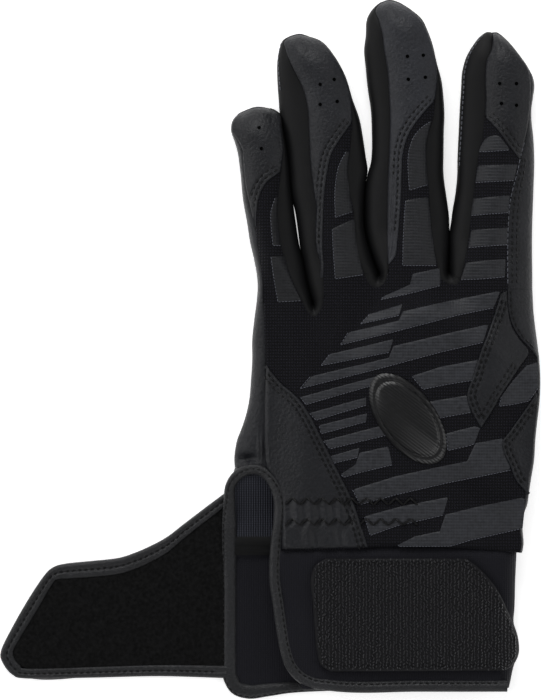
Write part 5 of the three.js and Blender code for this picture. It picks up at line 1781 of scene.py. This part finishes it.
    def lining(self, pitch):
        """Ribbed lining at the top of the slit, which climbs to the arch. Its ribs are a sine across it."""
        u, v = grid(170, 40, 0.0)
        levels, left = np.transpose(self.LINING_LEFT)
        y = mix(levels[0], levels[-1], v)
        x = mix(np.interp(y, levels, left), self.LINING_RIGHT, u)
        climb = ease((y - 34) / 18)
        ribs = self.RIB_HEIGHT * np.sin(2 * pi * x / pitch)
        z = self.LINING_LEVEL + self.LINING_CLIMB * climb + self.LINING_TILT * u * climb + ribs
        points = np.stack([x, y, z], axis=2)
        panel("slit_ribbing", points, self.LINING_THICKNESS, "ribbing", "slit_lining")

    def tape(self):
        """A dark tape below the lining: a low arch, a sine across it, with a crease along it."""
        u, v = grid(40, 16, 0.6)
        x, y = mix(*self.TAPE_X, u), mix(*self.TAPE_Y, v)
        z = self.LINING_LEVEL + 0.5 * np.sin(pi * v) - 0.35 * bell(v - 0.3, 0.07)
        points = np.stack([x, y, z], axis=2)
        panel("slit_band", points, self.TAPE_THICKNESS, "band", "slit_tape")

    def binding(self):
        """A rolled leather tape with a row of stitches sunk in it, widest on the left leg of the slit."""
        knots = np.array(self.BINDING)
        reach = reaches(knots)
        share = np.linspace(0, 1, 420)
        path = hermite(reach, knots, share * reach[-1])

        def at(values):
            points, values = np.transpose(values)
            return lambda share: np.interp(share, reach[points.astype(int)] / reach[-1], values)

        half, row = at(self.HALF_WIDTHS), at(self.ROW_SHARES)

        def section(share, angle):
            out = np.sign(np.cos(angle)) * np.abs(np.cos(angle)) ** 0.8
            rise = np.minimum(half(share), self.TALL) * np.sin(angle)
            groove = self.ROW_GROOVE * bell(out - row(share), self.ROW_GROOVE_WIDTH) * (np.sin(angle) > 0)
            return half(share) * out, rise - groove

        piece = tube("slit_binding", path, section, cloth("binding"))
        stands_for(sew(piece, "hand"), "cuff_binding")
        ahead = unit(np.gradient(path[:, :2], axis=0))
        right_hand = np.stack([ahead[:, 1], -ahead[:, 0]], axis=1)
        aside = (half(share) * row(share))[:, None] * right_hand
        z = path[:, 2] + self.TALL * np.sqrt(1 - row(share) ** 2.5) - self.ROW_BELOW
        edge = raised(path[:, :2] + aside, z)[self.EDGE_SEWN]
        hem = raised(path[:, :2] - aside, z)[self.HEM_SEWN]
        sew(stitches("binding_stitches", [edge, hem]), "hand")


class GLOVE_OT_hook_patch(GloveStep, bpy.types.Operator):
    """Sew the hook half of the fastener on the cuff"""

    bl_idname = "glove.hook_patch"
    bl_label = "Hook patch"

    LEFT = (
        (-13.6, -17.3), (-16.8, -15), (-18.1, -10.2), (-18.9, -1.7), (-19.5, 6.8), (-20.1, 14.6),
        (-18.7, 18.7), (-15, 21.1),
    )
    RIGHT = (
        (45.6, -17), (48.6, -15.3), (50.5, -11.9), (50.5, -6.8), (49, -1.7), (46.9, 2.7), (44.2, 8.5),
        (40.8, 13.6), (36.7, 18), (32.6, 21.1),
    )
    BORDER = 0.8
    DROOP = 0.1
    DROOP_FROM = 6.0
    LIFT = 1.9
    THICKNESS = 1.3
    EDGE_ROLL = 0.6
    STITCH_INSET = 1.3
    STITCH_LIFT = 0.1
    COLUMNS_X = (-22, 54)
    CANE = ((-0.1, -0.1), (-0.12, 0.45), (0.08, 0.8), (0.42, 0.75), (0.5, 0.5))
    CANE_RADII = (0.22, 0.19, 0.18, 0.17, 0.1)
    CANE_SIDES = 5
    SCATTER = 0.1
    TURN = 0.35
    SEED = 4

    def height(self, x, y):
        """Just over the cuff, drooping where the cuff turns down at its right side."""
        over = np.maximum(x - Line(GLOVE_OT_cuff.RIGHT).x_at(y) + self.DROOP_FROM, 0)
        return CUFF_TOP + self.LIFT + 0.4 * ease((y + 24) / 48) - self.DROOP * over**2

    def execute(self, context):
        left, right = Line(self.LEFT), Line(self.RIGHT)
        plan = ruled(left, right, *grid(80, 50, 0.5))
        points = laid(plan, self.height, 0, (self.EDGE_ROLL,) * 4)
        panel("hook_backing", points, self.THICKNESS, "hook_base", "hook_patch")
        self.hooks(left, right, context.scene.glove_sizes.hook_pitch / MM)
        rim_left = left.beside(-self.STITCH_INSET).dense[8:-4]
        rim_right = right.beside(self.STITCH_INSET).dense[::-1][4:-8]
        rim = joined(rim_left, rim_right, rim_left[:1])
        sew(stitches("hook_stitches", [on(rim, self.height, self.STITCH_LIFT, 900)]), "hand")
        return {"FINISHED"}

    def hooks(self, left, right, pitch):
        """Columns of small canes that lean up and down in turn, inside the border, a little scattered."""
        low = max(left.dense[0, 1], right.dense[0, 1]) + self.BORDER
        high = min(left.dense[-1, 1], right.dense[-1, 1]) - self.BORDER
        x, y = np.meshgrid(np.arange(*self.COLUMNS_X, pitch), np.arange(low, high, pitch * 0.9))
        column = np.arange(x.shape[1])[None]
        y = y + pitch / 2 * (column % 2)
        inside = (x > left.x_at(y) + self.BORDER) & (x < right.x_at(y) - self.BORDER)
        lean = np.broadcast_to(np.where(column // 2 % 2 == 0, 1.0, -1.0), x.shape)[inside]
        x, y = x[inside], y[inside]
        wobble = np.random.default_rng(self.SEED).normal(0, 1, (3, len(x)))
        shift_x, shift_y = self.SCATTER * wobble[0], self.SCATTER * wobble[1]
        centres = np.column_stack([x + shift_x, y + shift_y, self.height(x, y)])
        template, faces = swept_template(np.array(self.CANE), np.array(self.CANE_RADII), self.CANE_SIDES)
        turn = self.TURN * wobble[2]
        ahead = np.column_stack([np.sin(turn), lean * np.cos(turn), 0 * x])
        up = np.tile(np.array(UP, float), (len(x), 1))
        sew(repeated("hooks", template, faces, centres, ahead, up, cloth("hook")), "hand")


class GLOVE_OT_strap(GloveStep, bpy.types.Operator):
    """Sew the open wrist strap: its shell, the loop pile and the tape round its edge"""

    bl_idname = "glove.strap"
    bl_label = "Wrist strap"

    OUTER = (
        (-47.2, 44.5), (-56.7, 37.4), (-63.5, 32.2), (-69.2, 27.8), (-74.5, 24.9), (-80.2, 22.4),
        (-86, 20.6), (-94.9, 19.6), (-103.8, 18.7), (-108.2, 17.4), (-111.4, 14.3), (-116.8, 6.1),
        (-122.6, -4.1), (-125.8, -10.9), (-125.5, -14.6), (-122.1, -19), (-116.8, -20.4), (-94.9, -20.1),
        (-71.3, -19.6), (-47.2, -20.3),
    )
    INNER = (
        (-47.2, 40), (-57.7, 32.1), (-63.8, 27.2), (-69.2, 22.7), (-74.7, 19.6), (-80.5, 17),
        (-86.2, 15.4), (-94.9, 14.4), (-103.2, 13.9), (-106.5, 13.6), (-108.5, 11.8), (-113.7, 3),
        (-119.2, -6.1), (-121.8, -10.9), (-121.4, -13.6), (-119.5, -15.9), (-116.3, -17.1), (-94.9, -16.6),
        (-71.3, -15.9), (-47.2, -16.2),
    )
    TIP = 13
    SHELL_TOP = 1.2
    SHELL_RISE = 0.3
    PILE_TOP = 2.75
    PILE_BELOW = 0.2
    PILE_THICKNESS = 1.2
    PILE_FUZZ = 0.08
    TAPE_TOP = 3.1
    TAPE_THICKNESS = 1.3
    TAPE_LAP = 0.03
    TAPE_ROLL = 1.3
    TAPE_DROP = 1.5
    LAP_DROP = 0.5
    TAPE_ROW = 0.52
    TAPE_GROOVE = 0.3
    ROW_BELOW = 0.22
    HINGE_X = (-50.0, -60.0)

    def matched(self, points):
        """A line read by the number of its points, so that two lists stay in step."""
        points = np.array(points)
        last = len(points) - 1
        return lambda share: hermite(np.arange(last + 1.0), points, share * last)

    def plan(self, outline, *cells):
        """Plan of a sheet between the lower and the upper side of an outline, both read from root to tip."""
        upper = Line(outline[: self.TIP + 1])
        lower = Line(outline[self.TIP :][::-1])
        return ruled(lower, upper, *grid(*cells))

    def hinge(self, piece):
        """Bakes the transform of a piece of the strap into its mesh; the ends of a hinge beside the slit are
        worked out but not used.
        """
        start, end = (metres(x, 0, 1) for x in self.HINGE_X)
        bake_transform(piece)
        return piece

    def execute(self, context):
        self.shell()
        self.pile()
        self.tape()
        return {"FINISHED"}

    def shell(self):
        """The outer layer, which lies on the table with its long edges a little raised."""
        plan = self.plan(self.OUTER, 50, 90, 0.3)
        left, right, _, _ = edge_distances(plan)
        points = raised(plan, self.SHELL_RISE * (rolled(left, 1.0) + rolled(right, 1.0)).clip(0, 1))
        piece = sheet("strap_outer_face", points, self.SHELL_TOP, cloth("neoprene"), DOWN)
        stands_for(self.hinge(piece), "strap_shell")

    def pile(self):
        """The loop pile: a flat sheet with a faint tangle, the product of two bent sines."""
        plan = self.plan(self.INNER, 90, 110, 0.1)
        x, y = plan[..., 0], plan[..., 1]
        tangle = np.sin(x * 1.9 + 2 * np.sin(y * 0.7)) * np.sin(y * 2.1 + np.sin(x * 0.9))
        points = raised(plan, self.PILE_TOP - self.PILE_BELOW + self.PILE_FUZZ * tangle)
        piece = sheet("strap_loops", points, self.PILE_THICKNESS, cloth("pile"))
        stands_for(self.hinge(piece), "strap_pile")

    def tape(self):
        """The edge tape: rolled over the outline, lapped on the pile, with a row of stitches sunk in it."""
        outer, inner = self.matched(self.OUTER), self.matched(self.INNER)
        u, v = grid(26, 300, 0.0)
        across = (1 + 2 * self.TAPE_LAP) * u - self.TAPE_LAP
        plan = mix(outer(v), inner(v), across[..., None])
        distance, to_pile, _, _ = edge_distances(plan)
        drop = self.TAPE_DROP * rolled(distance, self.TAPE_ROLL) / self.TAPE_ROLL
        z = self.TAPE_TOP - drop - self.LAP_DROP * rolled(to_pile, 1.0)
        points = raised(plan, z - self.TAPE_GROOVE * bell(u - self.TAPE_ROW, 0.12))
        piece = sheet("strap_edge_tape", points, self.TAPE_THICKNESS, cloth("tape"))
        stands_for(self.hinge(piece), "strap_binding")
        share = np.linspace(0.012, 0.988, 900)
        row = mix(outer(share), inner(share), self.TAPE_ROW)
        row = raised(row, 0 * share + self.TAPE_TOP - self.ROW_BELOW)
        self.hinge(stitches("strap_stitches", [row]))


class GLOVE_OT_stage(GloveStep, bpy.types.Operator):
    """Set the floor, the soft lights and the camera over the glove"""

    bl_idname = "glove.stage"
    bl_label = "Stage"

    CENTRE = (-33.83 * MM, 91.8 * MM)
    SENSOR = 36.0
    FLOOR = 6.0
    FLOOR_LEVEL = -0.05
    CLIP_END = 100
    LIGHT_SIZE = 1.0
    LIGHT_DISTANCE = 1.3
    LIGHTS = (
        ("Past the fingers", (-0.15, 1.0, 0.75), "key", 1.0),
        ("Past the cuff", (0.1, -1.0, 0.7), "fill", 0.75),
        ("Left", (-1.0, 0.1, 0.7), "fill", 1.1),
        ("Right", (1.0, 0.0, 0.75), "fill", 0.7),
    )

    def execute(self, context):
        stage = context.scene.glove_stage
        self.floor()
        self.lights(context.scene, stage)
        camera = bpy.data.objects.new("Camera", bpy.data.cameras.new("Camera"))
        camera.data.lens = stage.lens
        camera.data.sensor_width = self.SENSOR
        camera.data.clip_end = self.CLIP_END
        distance = stage.frame_height * stage.lens / self.SENSOR
        camera.location = (*self.CENTRE, stage.frame_level + distance)
        context.scene.collection.objects.link(camera)
        context.scene.camera = camera
        return {"FINISHED"}

    def floor(self):
        """A square of paper just under the glove."""
        half = self.FLOOR / 2 / MM
        corners = [(x * half, y * half, self.FLOOR_LEVEL) for x, y in ((-1, -1), (1, -1), (1, 1), (-1, 1))]
        to_object("Floor", corners, [(0, 1, 2, 3)], cloth("floor"))

    def lights(self, scene, stage):
        """Soft square lights that face the glove from four sides, and an even sky."""
        for name, way, power, share in self.LIGHTS:
            data = bpy.data.lights.new(name, "AREA")
            data.energy = share * getattr(stage, power)
            data.size = self.LIGHT_SIZE
            light = bpy.data.objects.new(name, data)
            way = np.array(way)
            target = np.array([*self.CENTRE, 0.0])
            light.location = target + self.LIGHT_DISTANCE * way
            back = way / np.linalg.norm(way)
            turn = np.arctan2(way[1], way[0]) + pi / 2
            light.rotation_euler = (np.arccos(back[2]), 0, turn)
            scene.collection.objects.link(light)
        world = bpy.data.worlds.new("Studio")
        world.use_nodes = True
        background = world.node_tree.nodes["Background"]
        background.inputs["Color"].default_value = (1, 1, 1, 1)
        background.inputs["Strength"].default_value = stage.sky
        scene.world = world
        scene.view_settings.view_transform = "Standard"


OPERATORS = (
    GLOVE_OT_palm,
    GLOVE_OT_back,
    GLOVE_OT_leather_panels,
    GLOVE_OT_crotches,
    GLOVE_OT_fingers,
    GLOVE_OT_thumb,
    GLOVE_OT_cuff,
    GLOVE_OT_hook_patch,
    GLOVE_OT_strap,
    GLOVE_OT_stage,
)


class GLOVE_PT_panel(bpy.types.Panel):
    """Lists the sizes, the colours and the steps"""

    bl_idname = "GLOVE_PT_panel"
    bl_label = "Batting glove"
    bl_space_type = "VIEW_3D"
    bl_region_type = "UI"
    bl_category = "Glove"

    def draw(self, context):
        scene = context.scene
        for group in (scene.glove_sizes, scene.glove_colours, scene.glove_stage):
            box = self.layout.box()
            for field in group.__annotations__:
                box.prop(group, field)
        for operator in OPERATORS:
            self.layout.operator(operator.bl_idname)


GROUPS = {"glove_sizes": GloveSizes, "glove_colours": GloveColours, "glove_stage": GloveStage}
CLASSES = (*GROUPS.values(), *OPERATORS, GLOVE_PT_panel)


def register():
    for cls in CLASSES:
        bpy.utils.register_class(cls)
    for name, group in GROUPS.items():
        setattr(bpy.types.Scene, name, PointerProperty(type=group))


def unregister():
    for name in GROUPS:
        delattr(bpy.types.Scene, name)
    for cls in reversed(CLASSES):
        bpy.utils.unregister_class(cls)


def main():
    register()
    bpy.ops.glove.palm()
    bpy.ops.glove.back()
    bpy.ops.glove.leather_panels()
    bpy.ops.glove.crotches()
    bpy.ops.glove.fingers()
    bpy.ops.glove.thumb()
    bpy.ops.glove.cuff()
    bpy.ops.glove.hook_patch()
    bpy.ops.glove.strap()
    bpy.ops.glove.stage()


if __name__ == "__main__":
    main()
